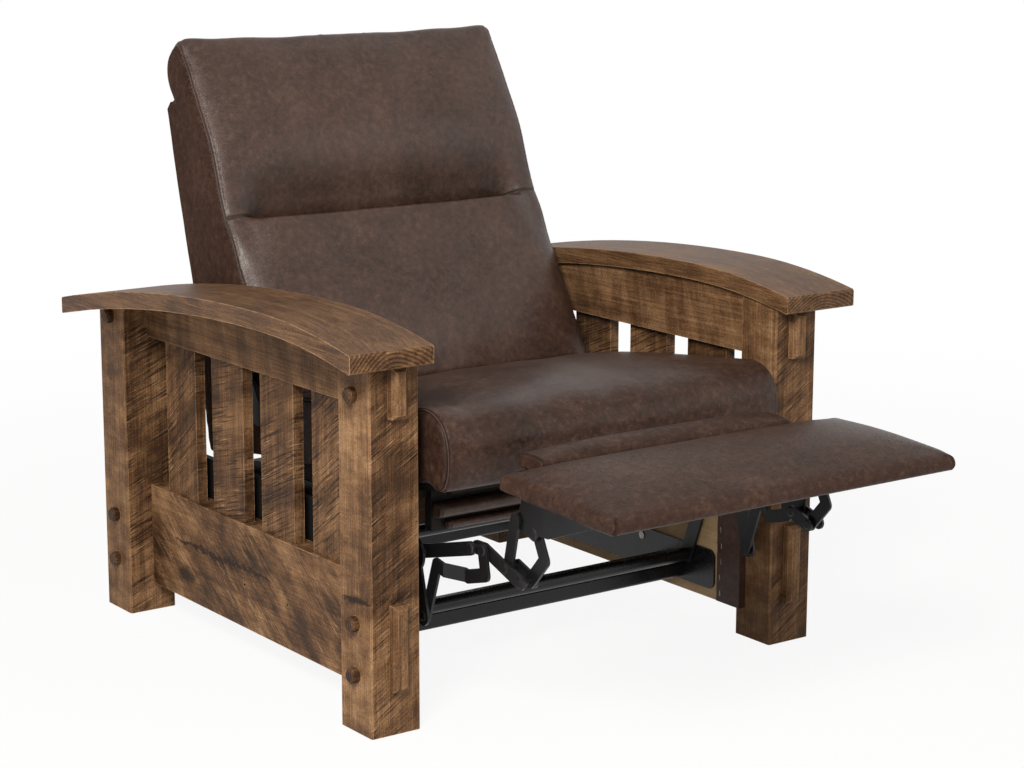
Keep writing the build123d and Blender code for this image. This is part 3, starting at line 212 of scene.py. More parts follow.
def sawn_board_effect():
    """Rough-sawn board: growth rings, fibres, knots, blotched stain and the saw's lines, with painted light
    lifting the faces along X.
    """
    tree, given, result = effect(
        "sawn_board",
        {"Point": ORIGIN, "Centre": ORIGIN, "Grain": Z_WAY, "Face": Y_WAY, "Heart": (0, 0.07, 0.05),
         "Saw Line": (0, 0.5, 0.87), "Saw Run": (0, -0.87, 0.5), "Saw Turn": 0.25, "Saw Marks": 1.0,
         "Marks On Sides": 1.0, "Tone": 0.0, "Seed": 0.0, "Knots": 1.0, "Board Pitch": 100.0,
         "Blotches": 1.0, "Side Tone": 0.0}, ["Tone", "Height"])
    local = vector_minus(tree, given["Point"], given["Centre"])
    third = vector_calc(tree, "CROSS_PRODUCT", given["Grain"], given["Face"])
    u = along(tree, local, given["Grain"])
    v_full = along(tree, local, given["Face"])
    w = along(tree, local, third)
    # boards that lie side by side in one piece each get their own figure
    board = calc(tree, "ROUND", calc(tree, "DIVIDE", v_full, given["Board Pitch"]))
    v = minus(tree, v_full, times(tree, board, given["Board Pitch"]))
    own = put(tree, "ShaderNodeTexWhiteNoise", {"W": calc(tree, "ADD", board, given["Seed"])},
              noise_dimensions="1D")
    shift = times(tree, own.outputs["Value"], 9.0)
    u = calc(tree, "ADD", u, shift)
    figure = vector_of(tree, u, v, w)
    apart = vector_of(tree, shift, given["Seed"], times(tree, given["Seed"], 0.37))
    placed = vector_calc(tree, "ADD", given["Point"], apart)
    stretched = vector_of(tree, u, times(tree, v, 7.0), times(tree, w, 7.0))
    stretched = vector_calc(tree, "ADD", stretched, apart)
    drift = vector_minus(tree, grainy(tree, stretched, 1.0, 1.0, 0.4, 1), (0.5, 0.5, 0.5))
    drift = vector_times(tree, drift, (0.0, 0.045, 0.045))
    from_heart = vector_calc(tree, "ADD", vector_minus(tree, figure, given["Heart"]), drift)
    from_heart = vector_times(tree, from_heart, (0.0, 1.0, 1.0))
    radius = put(tree, "ShaderNodeVectorMath", {0: from_heart}, operation="LENGTH").outputs["Value"]
    # knots push the rings aside
    cell = put(tree, "ShaderNodeTexVoronoi",
               {"Vector": vector_calc(tree, "ADD", vector_times(tree, figure, (2.4, 8.0, 8.0)),
                                      apart), "Scale": 1.0}).outputs["Distance"]
    knot = times(tree, eased(tree, cell, 0.115, 0.055), given["Knots"])
    swirl = times(tree, eased(tree, cell, 0.42, 0.0), given["Knots"])
    radius = calc(tree, "ADD", radius, times(tree, swirl, 0.022))
    waves = times(tree, radius, 6.2832 / 0.0062)
    ring = raise_by(tree, calc(tree, "SINE", waves), 0.5, 0.5)
    ring = calc(tree, "POWER", ring, 2.2)
    normal = tree.nodes.new("ShaderNodeNewGeometry").outputs["Normal"]
    end_on = eased(tree, size_of(tree, along(tree, normal, given["Grain"])), 0.6, 0.85)
    fine = vector_calc(tree, "ADD", vector_times(tree, figure, (16.0, 520.0, 520.0)), apart)
    fibre = grainy(tree, fine, 1.0, 3.0, 0.65)
    broad = vector_calc(tree, "ADD", vector_times(tree, figure, (2.2, 70.0, 70.0)), apart)
    streak = grainy(tree, broad, 1.0, 3.0, 0.6)
    # stain lies in patches that follow the saw's run
    run = along(tree, placed, given["Saw Run"])
    turn = times(tree, minus(tree, own.outputs["Value"], 0.5), given["Saw Turn"])
    line = raise_by(tree, run, turn, along(tree, placed, given["Saw Line"]))
    across = along(tree, placed, vector_calc(tree, "CROSS_PRODUCT", given["Saw Line"], given["Saw Run"]))
    patches = vector_of(tree, times(tree, line, 24.0), times(tree, run, 8.0),
                        times(tree, across, 10.0))
    blotch = grainy(tree, patches, 1.0, 5.0, 0.66)
    cloud = grainy(tree, placed, 6.5, 4.0, 0.6)
    grit = grainy(tree, placed, 380.0, 3.0, 0.7)
    # the saw's lines, broken and uneven
    side_on = eased(tree, size_of(tree, along(tree, normal, (1, 0, 0))), 0.5, 0.7)
    sides = put(tree, "ShaderNodeMix", {0: side_on, 2: 1.0, 3: given["Marks On Sides"]}).outputs[0]
    marks = vector_of(tree, times(tree, line, 330.0), times(tree, run, 11.0), times(tree, across, 30.0))
    lines = grainy(tree, marks, 1.0, 2.0, 0.6)
    scratches = grainy(tree, vector_of(tree, times(tree, line, 470.0),
                                       times(tree, run, 19.0), 7.0), 1.0, 2.0, 0.5)
    patch = eased(tree, grainy(tree, placed, 9.0, 4.0, 0.6), 0.40, 0.58, 0.22, 1.0)
    strength = times(tree, times(tree, patch, sides), given["Saw Marks"])
    strength = times(tree, strength, minus(tree, 1.0, end_on))
    dark_lines = times(tree, eased(tree, lines, 0.54, 0.63), strength)
    pale_lines = times(tree, eased(tree, scratches, 0.58, 0.68), strength)
    tone = calc(tree, "ADD", 0.46, given["Tone"])
    tone = raise_by(tree, minus(tree, own.outputs["Value"], 0.5), 0.12, tone)
    stain = 0.0
    for value, low, high, share in ((cloud, 0.34, 0.66, 0.24), (blotch, 0.34, 0.66, 0.30)):
        spread = minus(tree, eased(tree, value, low, high), 0.5)
        stain = raise_by(tree, spread, share, stain)
    tone = raise_by(tree, stain, given["Blotches"], tone)
    for value, centre, share in ((streak, 0.5, 0.55), (fibre, 0.5, 0.66), (grit, 0.5, 0.72),
                                 (ring, 0.4, -0.055)):
        tone = raise_by(tree, minus(tree, value, centre), share, tone)
    # the share given for the sides lightens the faces along X: painted light from the side
    for value, share in ((times(tree, ring, end_on), -0.26), (dark_lines, -0.30), (pale_lines, 0.42),
                         (side_on, given["Side Tone"]), (knot, -0.40), (swirl, -0.07)):
        tone = raise_by(tree, value, share, tone)
    height = raise_by(tree, fibre, 0.5, times(tree, dark_lines, -0.8))
    for value, share in ((pale_lines, 0.6), (grit, 0.45), (blotch, 0.5)):
        height = raise_by(tree, value, share, height)
    return give(tree, result, Tone=tone, Height=height)


def torn_grain_effect():
    """A dark split with torn fibres round it, widest in its middle."""
    tree, given, result = effect(
        "torn_grain", {"Point": ORIGIN, "Middle": ORIGIN, "Run": Y_WAY, "Rise": Z_WAY, "Half Length": 0.1,
                       "Half Width": 0.004, "Wander": 0.02}, ["Mask", "Halo"])
    local = vector_minus(tree, given["Point"], given["Middle"])
    share = calc(tree, "DIVIDE", along(tree, local, given["Run"]), given["Half Length"])
    wander = minus(tree, grainy(tree, given["Point"], 16.0, 5.0, 0.62), 0.5)
    off = raise_by(tree, wander, given["Wander"], along(tree, local, given["Rise"]))
    off = size_of(tree, off)
    taper = calc(tree, "MAXIMUM", minus(tree, 1.0, times(tree, share, share)), 0.0)
    width = times(tree, given["Half Width"], taper)
    torn = grainy(tree, given["Point"], 140.0, 4.0, 0.7)
    width = times(tree, width, eased(tree, torn, 0.3, 0.7, 0.35, 1.6))
    near = calc(tree, "DIVIDE", off, calc(tree, "ADD", width, 0.0003))
    mask = times(tree, eased(tree, near, 1.25, 0.55), eased(tree, taper, 0.0, 0.1))
    return give(tree, result, Mask=mask, Halo=times(tree, eased(tree, near, 5.0, 0.5), taper))


def hide_effect():
    """Leather: pebbled grain, mottled dye, rubbed flecks and fine veins."""
    tree, given, result = effect("waxed_hide", {"Point": ORIGIN, "Pebble": 520.0, "Seed": 0.0},
                                 ["Cloud", "Rub", "Height"])
    point = vector_calc(tree, "ADD", given["Point"], vector_of(tree, given["Seed"], 0.0, 0.0))
    bend = grainy(tree, point, 90.0, 2.0, 0.5, 1)
    bent = vector_calc(tree, "ADD", point, vector_times(tree, bend, (0.004, 0.004, 0.004)))
    pebble = put(tree, "ShaderNodeTexVoronoi", {"Vector": bent, "Scale": given["Pebble"]},
                 feature="SMOOTH_F1").outputs["Distance"]
    pores = grainy(tree, point, 1500.0, 2.0, 0.6)
    crease = grainy(tree, vector_times(tree, bent, (1.0, 2.4, 2.4)), 62.0, 5.0, 0.7)
    crease = eased(tree, size_of(tree, minus(tree, crease, 0.5)), 0.0, 0.03)
    cloud = grainy(tree, point, 8.0, 6.0, 0.68)
    fleck = grainy(tree, point, 85.0, 6.0, 0.75)
    vein = grainy(tree, bent, 21.0, 6.0, 0.66)
    vein = eased(tree, size_of(tree, minus(tree, vein, 0.5)), 0.016, 0.002)
    worn = eased(tree, grainy(tree, point, 13.0, 3.0, 0.6), 0.42, 0.60)
    rub = times(tree, eased(tree, fleck, 0.50, 0.70), raise_by(tree, worn, 0.5, 0.25))
    rub = calc(tree, "MAXIMUM", rub, times(tree, vein, times(tree, worn, 0.6)))
    mixed = raise_by(tree, minus(tree, cloud, 0.5), 0.60, 0.5)
    mixed = raise_by(tree, minus(tree, fleck, 0.5), 0.75, mixed)
    height = raise_by(tree, pebble, -0.9, times(tree, pores, 0.35))
    height = raise_by(tree, crease, 0.30, height)
    return give(tree, result, Cloud=mixed, Rub=rub, Height=height)


def handled_metal_effect():
    """Metal: faint clouds, scratches and rubbed spots."""
    tree, given, result = effect("handled_metal", {"Point": ORIGIN, "Scale": 1.0},
                                 ["Cloud", "Scratch", "Height"])
    point = vector_calc(tree, "SCALE", given["Point"], (0, 0, 0))
    point.node.inputs["Scale"].default_value = 1.0
    tree.links.new(given["Scale"], point.node.inputs["Scale"])
    cloud = grainy(tree, point, 30.0, 4.0, 0.6)
    long = vector_times(tree, point, (900.0, 40.0, 900.0))
    scratch = eased(tree, grainy(tree, long, 1.0, 2.0, 0.6), 0.62, 0.72)
    speck = grainy(tree, point, 1800.0, 2.0, 0.6)
    return give(tree, result, Cloud=cloud, Scratch=scratch, Height=raise_by(tree, scratch, -0.4, speck))


EDGES = edge_wear_effect()
BOARD = sawn_board_effect()
TORN = torn_grain_effect()
HIDE = hide_effect()
METAL = handled_metal_effect()


def finish(name, tree_of):
    """A material whose shader is filled by a function."""
    made = bpy.data.materials.new(name)
    made.use_nodes = True
    tree = made.node_tree
    shader = tree.nodes["Principled BSDF"]
    point = tree.nodes.new("ShaderNodeTexCoord").outputs["Object"]
    tree_of(tree, shader, point)
    return made


def fixed(shader, **values):
    """Plain values for a shader's inputs, each named by its label's words."""
    for name, value in values.items():
        shader.inputs[name.replace("_", " ")].default_value = value


def raised(tree, shader, height, distance, strength=1.0):
    """Feed a height to the shader's normal."""
    bump = put(tree, "ShaderNodeBump", {"Height": height, "Distance": distance, "Strength": strength})
    tree.links.new(bump.outputs[0], shader.inputs["Normal"])


STAINED = ((0.0, (0.018, 0.0078, 0.0036)), (0.28, (0.058, 0.0270, 0.0115)), (0.5, (0.130, 0.065, 0.029)),
           (0.72, (0.235, 0.127, 0.060)), (1.0, (0.43, 0.262, 0.138)))
PLY = ((0.0, (0.26, 0.15, 0.07)), (0.35, (0.44, 0.29, 0.15)), (0.65, (0.58, 0.41, 0.235)),
       (1.0, (0.70, 0.53, 0.33)))
DARK_BOARD = ((0.0, (0.008, 0.006, 0.005)), (0.5, (0.02, 0.015, 0.012)), (1.0, (0.05, 0.038, 0.03)))


def middle(*names):
    """The middle of the box round some nodes."""
    boxes = [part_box(name) for name in names]
    low = [min(box[0][i] for box in boxes) for i in range(3)]
    high = [max(box[1][i] for box in boxes) for i in range(3)]
    return tuple((a + b) / 2 for a, b in zip(low, high))


def sawn_wood(name, centre, grain, face, saw, seed, stops=STAINED, wear=0.5, rough=0.6, splits=(),
              **values):
    """A stained board, cut along its grain from its own part of a log."""
    def fill(tree, shader, point):
        run = Vector(saw).normalized()
        aside = Vector(X_WAY if abs(run.x) < 0.1 else Y_WAY)
        given = {"Point": point, "Centre": centre, "Grain": grain, "Face": face,
                 "Saw Line": tuple(aside.cross(run).normalized()), "Saw Run": tuple(run), "Seed": seed,
                 "Heart": (0, 0.05 + 0.011 * (seed % 5), 0.03 + 0.013 * (seed % 3))}
        given.update({key.replace("_", " ").title(): value for key, value in values.items()})
        out = use(tree, BOARD, given)
        edge = use(tree, EDGES, {"Point": point, "Radius": 0.0032})["Mask"]
        tone = raise_by(tree, edge, wear * 1.45, out["Tone"])
        for spot, way, length, width, wander in splits:
            torn = use(tree, TORN, {"Point": point, "Middle": spot, "Run": way, "Half Length": length,
                                    "Half Width": width, "Wander": wander})
            tone = raise_by(tree, torn["Halo"], -0.13, tone)
            tone = raise_by(tree, torn["Mask"], -0.36, tone)
        tree.links.new(ramp(tree, tone, stops), shader.inputs["Base Color"])
        tree.links.new(raise_by(tree, out["Tone"], 0.16, rough - 0.08), shader.inputs["Roughness"])
        raised(tree, shader, out["Height"], 0.0013, 1.0)
        fixed(shader, Specular_IOR_Level=0.16)
    return finish(name, fill)


def leather(name, seed, deep=(0.022, 0.0105, 0.0070), body=(0.054, 0.0275, 0.0185),
            rubbed=(0.105, 0.060, 0.042), rough=0.37, pebble=520.0, rise=0.0003, shine=0.20):
    """Dark brown hide with a soft waxed sheen, and painted shade in its pressed seams."""
    def fill(tree, shader, point):
        out = use(tree, HIDE, {"Point": point, "Pebble": pebble, "Seed": seed})
        colour = ramp(tree, out["Cloud"], ((0.30, deep), (0.52, body), (0.80, rubbed)))
        colour = blended(tree, times(tree, out["Rub"], 0.50), colour, (*rubbed, 1))
        # painted shade: the seam mask darkens the pressed seams and the back's sewn channel towards near
        # black
        seam = put(tree, "ShaderNodeAttribute", attribute_name="seam").outputs["Fac"]
        shade = times(tree, seam, 0.62)
        colour = blended(tree, shade, colour, (*[part * 0.35 for part in deep], 1))
        tree.links.new(colour, shader.inputs["Base Color"])
        gloss = raise_by(tree, minus(tree, out["Cloud"], 0.5), 0.22, rough)
        tree.links.new(raise_by(tree, seam, 0.2, gloss), shader.inputs["Roughness"])
        raised(tree, shader, out["Height"], rise, 0.8)
        fixed(shader, Specular_IOR_Level=shine, Coat_Weight=shine / 4, Coat_Roughness=0.28)
    return finish(name, fill)


def painted_steel(name, paint=(0.006, 0.006, 0.007), bare=(0.16, 0.16, 0.165), rough=0.34, wear=0.5):
    """Black enamelled steel, rubbed to grey along its edges."""
    def fill(tree, shader, point):
        out = use(tree, METAL, {"Point": point, "Scale": 1.0})
        edge = use(tree, EDGES, {"Point": point, "Radius": 0.0012})["Mask"]
        rubbed = times(tree, edge, wear)
        worn = calc(tree, "ADD", rubbed, times(tree, out["Scratch"], 0.12))
        tree.links.new(blended(tree, worn, (*paint, 1), (*bare, 1)), shader.inputs["Base Color"])
        tree.links.new(raise_by(tree, out["Cloud"], 0.22, rough - 0.1), shader.inputs["Roughness"])
        tree.links.new(times(tree, rubbed, 0.8), shader.inputs["Metallic"])
        fixed(shader, Specular_IOR_Level=0.3)
        raised(tree, shader, out["Height"], 0.00012, 0.6)
    return finish(name, fill)


def zinc_steel(name, colour=(0.42, 0.41, 0.39), dull=(0.20, 0.19, 0.18), rough=0.36):
    """Zinc plated wire and screws, a little clouded."""
    def fill(tree, shader, point):
        out = use(tree, METAL, {"Point": point, "Scale": 1.6})
        share = eased(tree, out["Cloud"], 0.36, 0.64)
        tree.links.new(blended(tree, share, (*dull, 1), (*colour, 1)), shader.inputs["Base Color"])
        tree.links.new(raise_by(tree, out["Cloud"], -0.2, rough + 0.1), shader.inputs["Roughness"])
        fixed(shader, Metallic=1.0)
        raised(tree, shader, out["Height"], 0.0001, 0.5)
    return finish(name, fill)


def plywood(name, centre, thickness_way, seed, layers=0.0024, darkened_way=None):
    """Bare plywood: a rotary-cut face, thin stripes where an edge shows, near black on one face and on the
    edges.
    """
    across = Z_WAY if abs(thickness_way[2]) < 0.6 else Y_WAY

    def fill(tree, shader, point):
        out = use(tree, BOARD, {"Point": point, "Centre": centre, "Grain": Y_WAY if across[2] else X_WAY,
                                "Face": across, "Heart": (0, 0.4, 0.055), "Saw Marks": 0.0, "Tone": 0.10,
                                "Seed": seed, "Knots": 0.35})
        tone = raise_by(tree, minus(tree, out["Tone"], 0.5), 0.75, 0.55)
        colour = ramp(tree, tone, PLY)
        depth = along(tree, point, thickness_way)
        stripe = calc(tree, "PINGPONG", depth, layers)
        stripe = eased(tree, stripe, layers * 0.35, layers * 0.65)
        edge_colour = blended(tree, stripe, (0.20, 0.115, 0.055, 1), (0.50, 0.34, 0.19, 1))
        normal = tree.nodes.new("ShaderNodeNewGeometry").outputs["Normal"]
        on_edge = size_of(tree, along(tree, normal, thickness_way))
        on_edge = eased(tree, on_edge, 0.6, 0.4)
        colour = blended(tree, on_edge, colour, edge_colour)
        if darkened_way:
            # near black over the face turned along the given way and over the edges, with faint noise
            near_black = raise_by(tree, grainy(tree, point, 900.0, 2.0, 0.6), 0.012, 0.004)
            cover = eased(tree, along(tree, normal, darkened_way), -0.6, -0.4)
            colour = blended(tree, cover, colour, vector_of(tree, near_black, near_black, near_black))
        tree.links.new(colour, shader.inputs["Base Color"])
        raised(tree, shader, out["Height"], 0.0004, 0.5)
        fixed(shader, Roughness=0.62, Specular_IOR_Level=0.3)
    return finish(name, fill)


# Woodwork finishes, board by board


def dress(name, material):
    """Give a CAD node its finish."""
    mesh = nodes[name].data
    mesh.materials.clear()
    mesh.materials.append(material)


def dress_board(node, grain, face, saw, seed, centre=None, **values):
    """Give a wooden node a board of its own."""
    dress(node, sawn_wood(f"{node}_wood", centre or middle(node), grain, face, saw, seed, **values))


def dress_woodwork():
    """Grain, face, saw direction and stain of every wooden piece, and painted light on the posts' sides."""
    knot = ((-0.448, FRONT + 0.043, 0.212), (0, 0.25, 0.97), 0.010, 0.006, 0.004)
    split = ((-0.401, FRONT + 0.545, 0.153), (0, 0.9997, -0.024), 0.172, 0.0060, 0.030)
    slat_width = 0.104
    for index, (label, side) in enumerate(LEFT_RIGHT.items()):
        seed = 3 + 11 * index
        # the posts' faces along X are lightened by painted light from the side
        dress_board(f"{label}_front_post", Z_WAY, Y_WAY, (0.873, 0, 0.489), seed + 5, saw_marks=1.05,
                    marks_on_sides=0.12, tone=-0.02, side_tone=0.13, splits=[knot] if side < 0 else [])
        dress_board(f"{label}_rear_post", Z_WAY, Y_WAY, (0.93, 0, 0.36), seed + 4, saw_marks=1.2,
                    marks_on_sides=0.12, tone=-0.04, side_tone=0.08)
        dress_board(f"{label}_lower_rail", Y_WAY, Z_WAY, (0, 0.80, 0.60), seed + 2, saw_marks=0.85,
                    tone=0.03, wear=0.42, blotches=1.35, splits=[split] if side < 0 else [])
        dress_board(f"{label}_upper_rail", Y_WAY, Z_WAY, (0, 0.12, 0.99), seed + 3, saw_marks=0.22,
                    tone=0.01, wear=0.4, knots=0.5, blotches=0.8)
        dress_board(f"{label}_arm", Y_WAY, X_WAY, (0.75, 0.45, 0.48), seed + 5, saw_marks=0.32, tone=0.0,
                    wear=0.62, rough=0.47, knots=0.6, blotches=0.45, heart=(0, 0.012, 0.062))
        node = f"{label}_slats"
        low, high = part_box(node)
        # the first slat's middle, and the pitch that the spread of four gives
        centre = ((low[0] + high[0]) / 2, low[1] + slat_width / 2, (low[2] + high[2]) / 2)
        dress_board(node, Z_WAY, Y_WAY, (0, -0.879, 0.476), seed + 7, centre, saw_marks=1.1, tone=-0.03,
                    wear=0.45, board_pitch=(high[1] - low[1] - slat_width) / 3, saw_turn=0.6)
    dress_board("pegs", X_WAY, Y_WAY, (0, 0.3, 0.95), 31, ORIGIN, saw_marks=0.3, tone=-0.17, wear=0.40,
                knots=0.0)
    dress_board("front_blocks", Z_WAY, X_WAY, (0.5, 0, 0.86), 37, saw_marks=0.3, tone=0.10, wear=0.5,
                knots=0.0, board_pitch=0.03, blotches=0.6)
    dress_board("rear_stretcher", X_WAY, Z_WAY, (0.5, 0, 0.86), 41, saw_marks=0.9, tone=-0.02, wear=0.42)
    dress_board("seat_frame", X_WAY, Y_WAY, (0.6, 0, 0.8), 43, stops=DARK_BOARD, saw_marks=0.3, wear=0.1,
                knots=0.0, tone=-0.3)


def dress_boards_and_steel():
    """Plywood, steel links and rails, springs and screws."""
    for label, side in LEFT_RIGHT.items():
        node = f"{label}_inner_panel"
        # the inner panels' outward faces and edges are coloured near black
        dress(node, plywood(f"{node}_ply", middle(node), X_WAY, 50 + len(label), darkened_way=(side, 0, 0)))
    dress("back_board", plywood("back_board_ply", middle("back_board"), tuple(BACK_DEEP), 61))
    dress("footrest_board", plywood("footrest_board_ply", middle("footrest_board"), tuple(FOOT_UP), 62))
    dress("flipper_board", plywood("flipper_board_ply", middle("flipper_board"), tuple(FOOT_UP), 63))
    black = painted_steel("black_enamel")
    rail_black = painted_steel("rail_enamel", rough=0.26, wear=0.25)
    zinc = zinc_steel("zinc_plate")
    spring = zinc_steel("spring_wire", colour=(0.16, 0.155, 0.15), dull=(0.06, 0.055, 0.05))
    slots = {row["node"]: row["material_slot"] for row in frame["record"]["subparts"]}
    for node, slot in slots.items():
        if node == "seat_springs":
            dress(node, spring)
        elif slot == "bare_steel":
            dress(node, zinc)
        elif slot == "black_steel":
            dress(node, rail_black if "rail" in node or "tube" in node else black)


# Shaping of soft pieces

def new_piece(name, mesh, material=None, even=True):
    """Put a mesh in the scene, smooth all over unless told otherwise."""
    piece = bpy.data.objects.new(name, mesh)
    scene.collection.objects.link(piece)
    for polygon in mesh.polygons:
        polygon.use_smooth = even
    if material:
        mesh.materials.append(material)
    return piece


def mesh_of(form, name):
    """A finished form as a mesh."""
    mesh = bpy.data.meshes.new(name)
    form.to_mesh(mesh)
    form.free()
    return mesh


def attach(piece, body):
    """A piece moves with a body."""
    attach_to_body(piece, body)


def weld(mesh):
    """Join the loose triangles of a copied mesh."""
    form = bmesh.new()
    form.from_mesh(mesh)
    bmesh.ops.remove_doubles(form, verts=form.verts, dist=0.00002)
    bmesh.ops.recalc_face_normals(form, faces=form.faces)
    form.to_mesh(mesh)
    form.free()


def settle(piece):
    """Turn a piece's modifiers into its mesh."""
    graph = bpy.context.evaluated_depsgraph_get()
    made = bpy.data.meshes.new_from_object(piece.evaluated_get(graph), depsgraph=graph)
    piece.modifiers.clear()
    piece.data = made
    for polygon in made.polygons:
        polygon.use_smooth = True


def soft_copy(node, name, voxel):
    """A piece with the form of a CAD node and an even mesh."""
    mesh = nodes[node].data.copy()
    mesh.materials.clear()
    weld(mesh)
    piece = bpy.data.objects.new(name, mesh)
    scene.collection.objects.link(piece)
    even = piece.modifiers.new("even_mesh", "REMESH")
    even.mode = "VOXEL"
    even.voxel_size = voxel
    settle(piece)
    smooth(piece, 3)
    return piece


def put_points(mesh, points):
    """Move every vertex of a mesh at once."""
    mesh.vertices.foreach_set("co", [part for point in points for part in point])
    mesh.update()


def reshape(piece, shift):
    """Move each vertex by what a function of its place and normal gives."""
    mesh = piece.data
    mesh.update()
    outward = [spot.vector.copy() for spot in mesh.vertex_normals]
    put_points(mesh, [vert.co + shift(vert.co, way) for vert, way in zip(mesh.vertices, outward)])


def slice_at(form, place, way, reach):
    """Cut a form by one plane and keep both sides."""
    return bmesh.ops.bisect_plane(form, geom=form.verts[:] + form.edges[:] + form.faces[:], dist=reach,
                                  plane_co=place, plane_no=way)


def add_rows(piece, origin, way, places):
    """Extra rows of vertices where a surface is to bend sharply."""
    form = bmesh.new()
    form.from_mesh(piece.data)
    for place in places:
        slice_at(form, origin + way * place, way, 0.0002)
    form.to_mesh(piece.data)
    form.free()


def smooth(piece, rounds, chosen=None):
    """Even a mesh out, or only its vertices that pass a test."""
    form = bmesh.new()
    form.from_mesh(piece.data)
    picked = [vert for vert in form.verts if not chosen or chosen(vert.co)]
    for _ in range(rounds):
        bmesh.ops.smooth_vert(form, verts=picked, factor=0.5, use_axis_x=True, use_axis_y=True,
                              use_axis_z=True)
    form.to_mesh(piece.data)
    form.free()


def stuff(piece, tuck, cap, free):
    """Draw a cover in a little, then let cloth under pressure fill it out again."""
    mesh = piece.data
    mesh.update()
    rest = [vert.co.copy() for vert in mesh.vertices]
    outward = [spot.vector.copy() for spot in mesh.vertex_normals]
    shares = [free(point) for point in rest]
    held = piece.vertex_groups.new(name="held")
    start = [point - way * (tuck * share) for point, way, share in zip(rest, outward, shares)]
    put_points(mesh, start)
    for level in range(5):
        picked = [i for i, share in enumerate(shares) if round((1.0 - share) * 4) == level]
        held.add(picked, level / 4, "REPLACE")
    cloth = piece.modifiers.new("stuffing", "CLOTH")
    cloth.settings.quality = 5
    cloth.settings.mass = 0.3
    cloth.settings.tension_stiffness = 15
    cloth.settings.compression_stiffness = 15
    cloth.settings.bending_stiffness = 2.0
    cloth.settings.use_pressure = True
    cloth.settings.uniform_pressure_force = 4.0
    cloth.settings.vertex_group_mass = "held"
    cloth.settings.effector_weights.gravity = 0
    cloth.point_cache.frame_end = 14
    for step in range(1, 15):
        scene.frame_set(step)
    graph = bpy.context.evaluated_depsgraph_get()
    filled = piece.evaluated_get(graph)
    moved = [first.lerp(vert.co, 0.25) for first, vert in zip(rest, filled.data.vertices)]
    piece.modifiers.clear()
    shaped = []
    for first, last, share in zip(start, moved, shares):
        move = last - first
        if move.length > cap:
            move = move * (cap / move.length)
        shaped.append(first + move * share)
    put_points(mesh, shaped)
    piece.vertex_groups.clear()
    scene.frame_set(1)
    smooth(piece, 4)


def divide_once(piece):
    """One subdivision, made part of the mesh."""
    finer = piece.modifiers.new("finer", "SUBSURF")
    finer.levels = 1
    finer.render_levels = 1
    settle(piece)


def cut_line(piece, point, normal, keep=None):
    """The longest line where a plane cuts a piece, point by point, or the stretch of it to keep."""
    form = bmesh.new()
    form.from_mesh(piece.data)
    cut = slice_at(form, point, normal, 0.0000001)["geom_cut"]
    edges = [item for item in cut if isinstance(item, bmesh.types.BMEdge)]
    links = {}
    for edge in edges:
        first, last = edge.verts
        links.setdefault(first, []).append(last)
        links.setdefault(last, []).append(first)
    runs = []
    left = set(links)
    while left:
        ends = [vert for vert in left if len([n for n in links[vert] if n in left]) == 1]
        here = min(ends or left, key=lambda vert: tuple(vert.co))
        run = [here]
        left.discard(here)
        while True:
            near = [n for n in links[here] if n in left]
            if not near:
                break
            here = near[0]
            left.discard(here)
            run.append(here)
        runs.append([vert.co.copy() for vert in run])
    form.free()
    longest = max(runs, key=len)
    return kept_run(longest, keep) if keep else longest


def kept_run(points, keep):
    """The longest stretch of a closed line whose points pass a test."""
    count = len(points)
    flags = [keep(point) for point in points]
    if all(flags):
        return points
    first = next(i for i in range(count) if not flags[i])
    best, run = [], []
    for step in range(1, count + 1):
        i = (first + step) % count
        if flags[i]:
            run.append(points[i])
        else:
            best, run = (run if len(run) > len(best) else best), []
    return run if len(run) > len(best) else best


def even_line(points, step, closed=False):
    """Points at even steps along a line, eased a little."""
    line = points + points[:1] if closed else points
    lengths = [0.0]
    for a, b in zip(line, line[1:]):
        lengths.append(lengths[-1] + (b - a).length)
    count = max(4, round(lengths[-1] / step))
    made, i = [], 0
    for k in range(count + (0 if closed else 1)):
        reach = lengths[-1] * k / count
        while i < len(lengths) - 2 and lengths[i + 1] < reach:
            i += 1
        part = (reach - lengths[i]) / max(lengths[i + 1] - lengths[i], 1e-9)
        made.append(line[i].lerp(line[i + 1], part))
    for _ in range(3):
        eased_line = []
        for k, here in enumerate(made):
            if not closed and k in (0, len(made) - 1):
                eased_line.append(here)
                continue
            before, after = made[k - 1], made[(k + 1) % len(made)]
            eased_line.append(here * 0.5 + (before + after) * 0.25)
        made = eased_line
    return made


def press_line(piece, points, half, depth, mark=1.0, lip=0.0, lip_way=None):
    """Draw the cover in along a sewn line, and mark it in the seam attribute that the hides darken as
    painted shade.
    """
    mesh = piece.data
    mesh.update()
    tree = kdtree.KDTree(len(points))
    for i, point in enumerate(points):
        tree.insert(point, i)
    tree.balance()
    seam = mesh.attributes.get("seam") or mesh.attributes.new("seam", "FLOAT", "POINT")
    low = [min(point[i] for point in points) - half * 2.4 for i in range(3)]
    high = [max(point[i] for point in points) + half * 2.4 for i in range(3)]
    places = [vert.co.copy() for vert in mesh.vertices]
    outward = [spot.vector.copy() for spot in mesh.vertex_normals]
    for i, place in enumerate(places):
        if not all(low[k] < place[k] < high[k] for k in range(3)):
            continue
        found, _, distance = tree.find(place)
        if distance > half * 2.4:
            continue
        near = max(0.0, 1 - (distance / half) ** 2)
        shift = outward[i] * (-depth * near * near)
        if lip and lip_way is not None and (place - found).dot(lip_way) > 0:
            ridge = max(0.0, 1 - ((distance - half * 0.9) / (half * 0.7)) ** 2)
            shift += outward[i] * (lip * ridge)
        places[i] = place + shift
        seam.data[i].value = max(seam.data[i].value, near * mark)
    put_points(mesh, places)


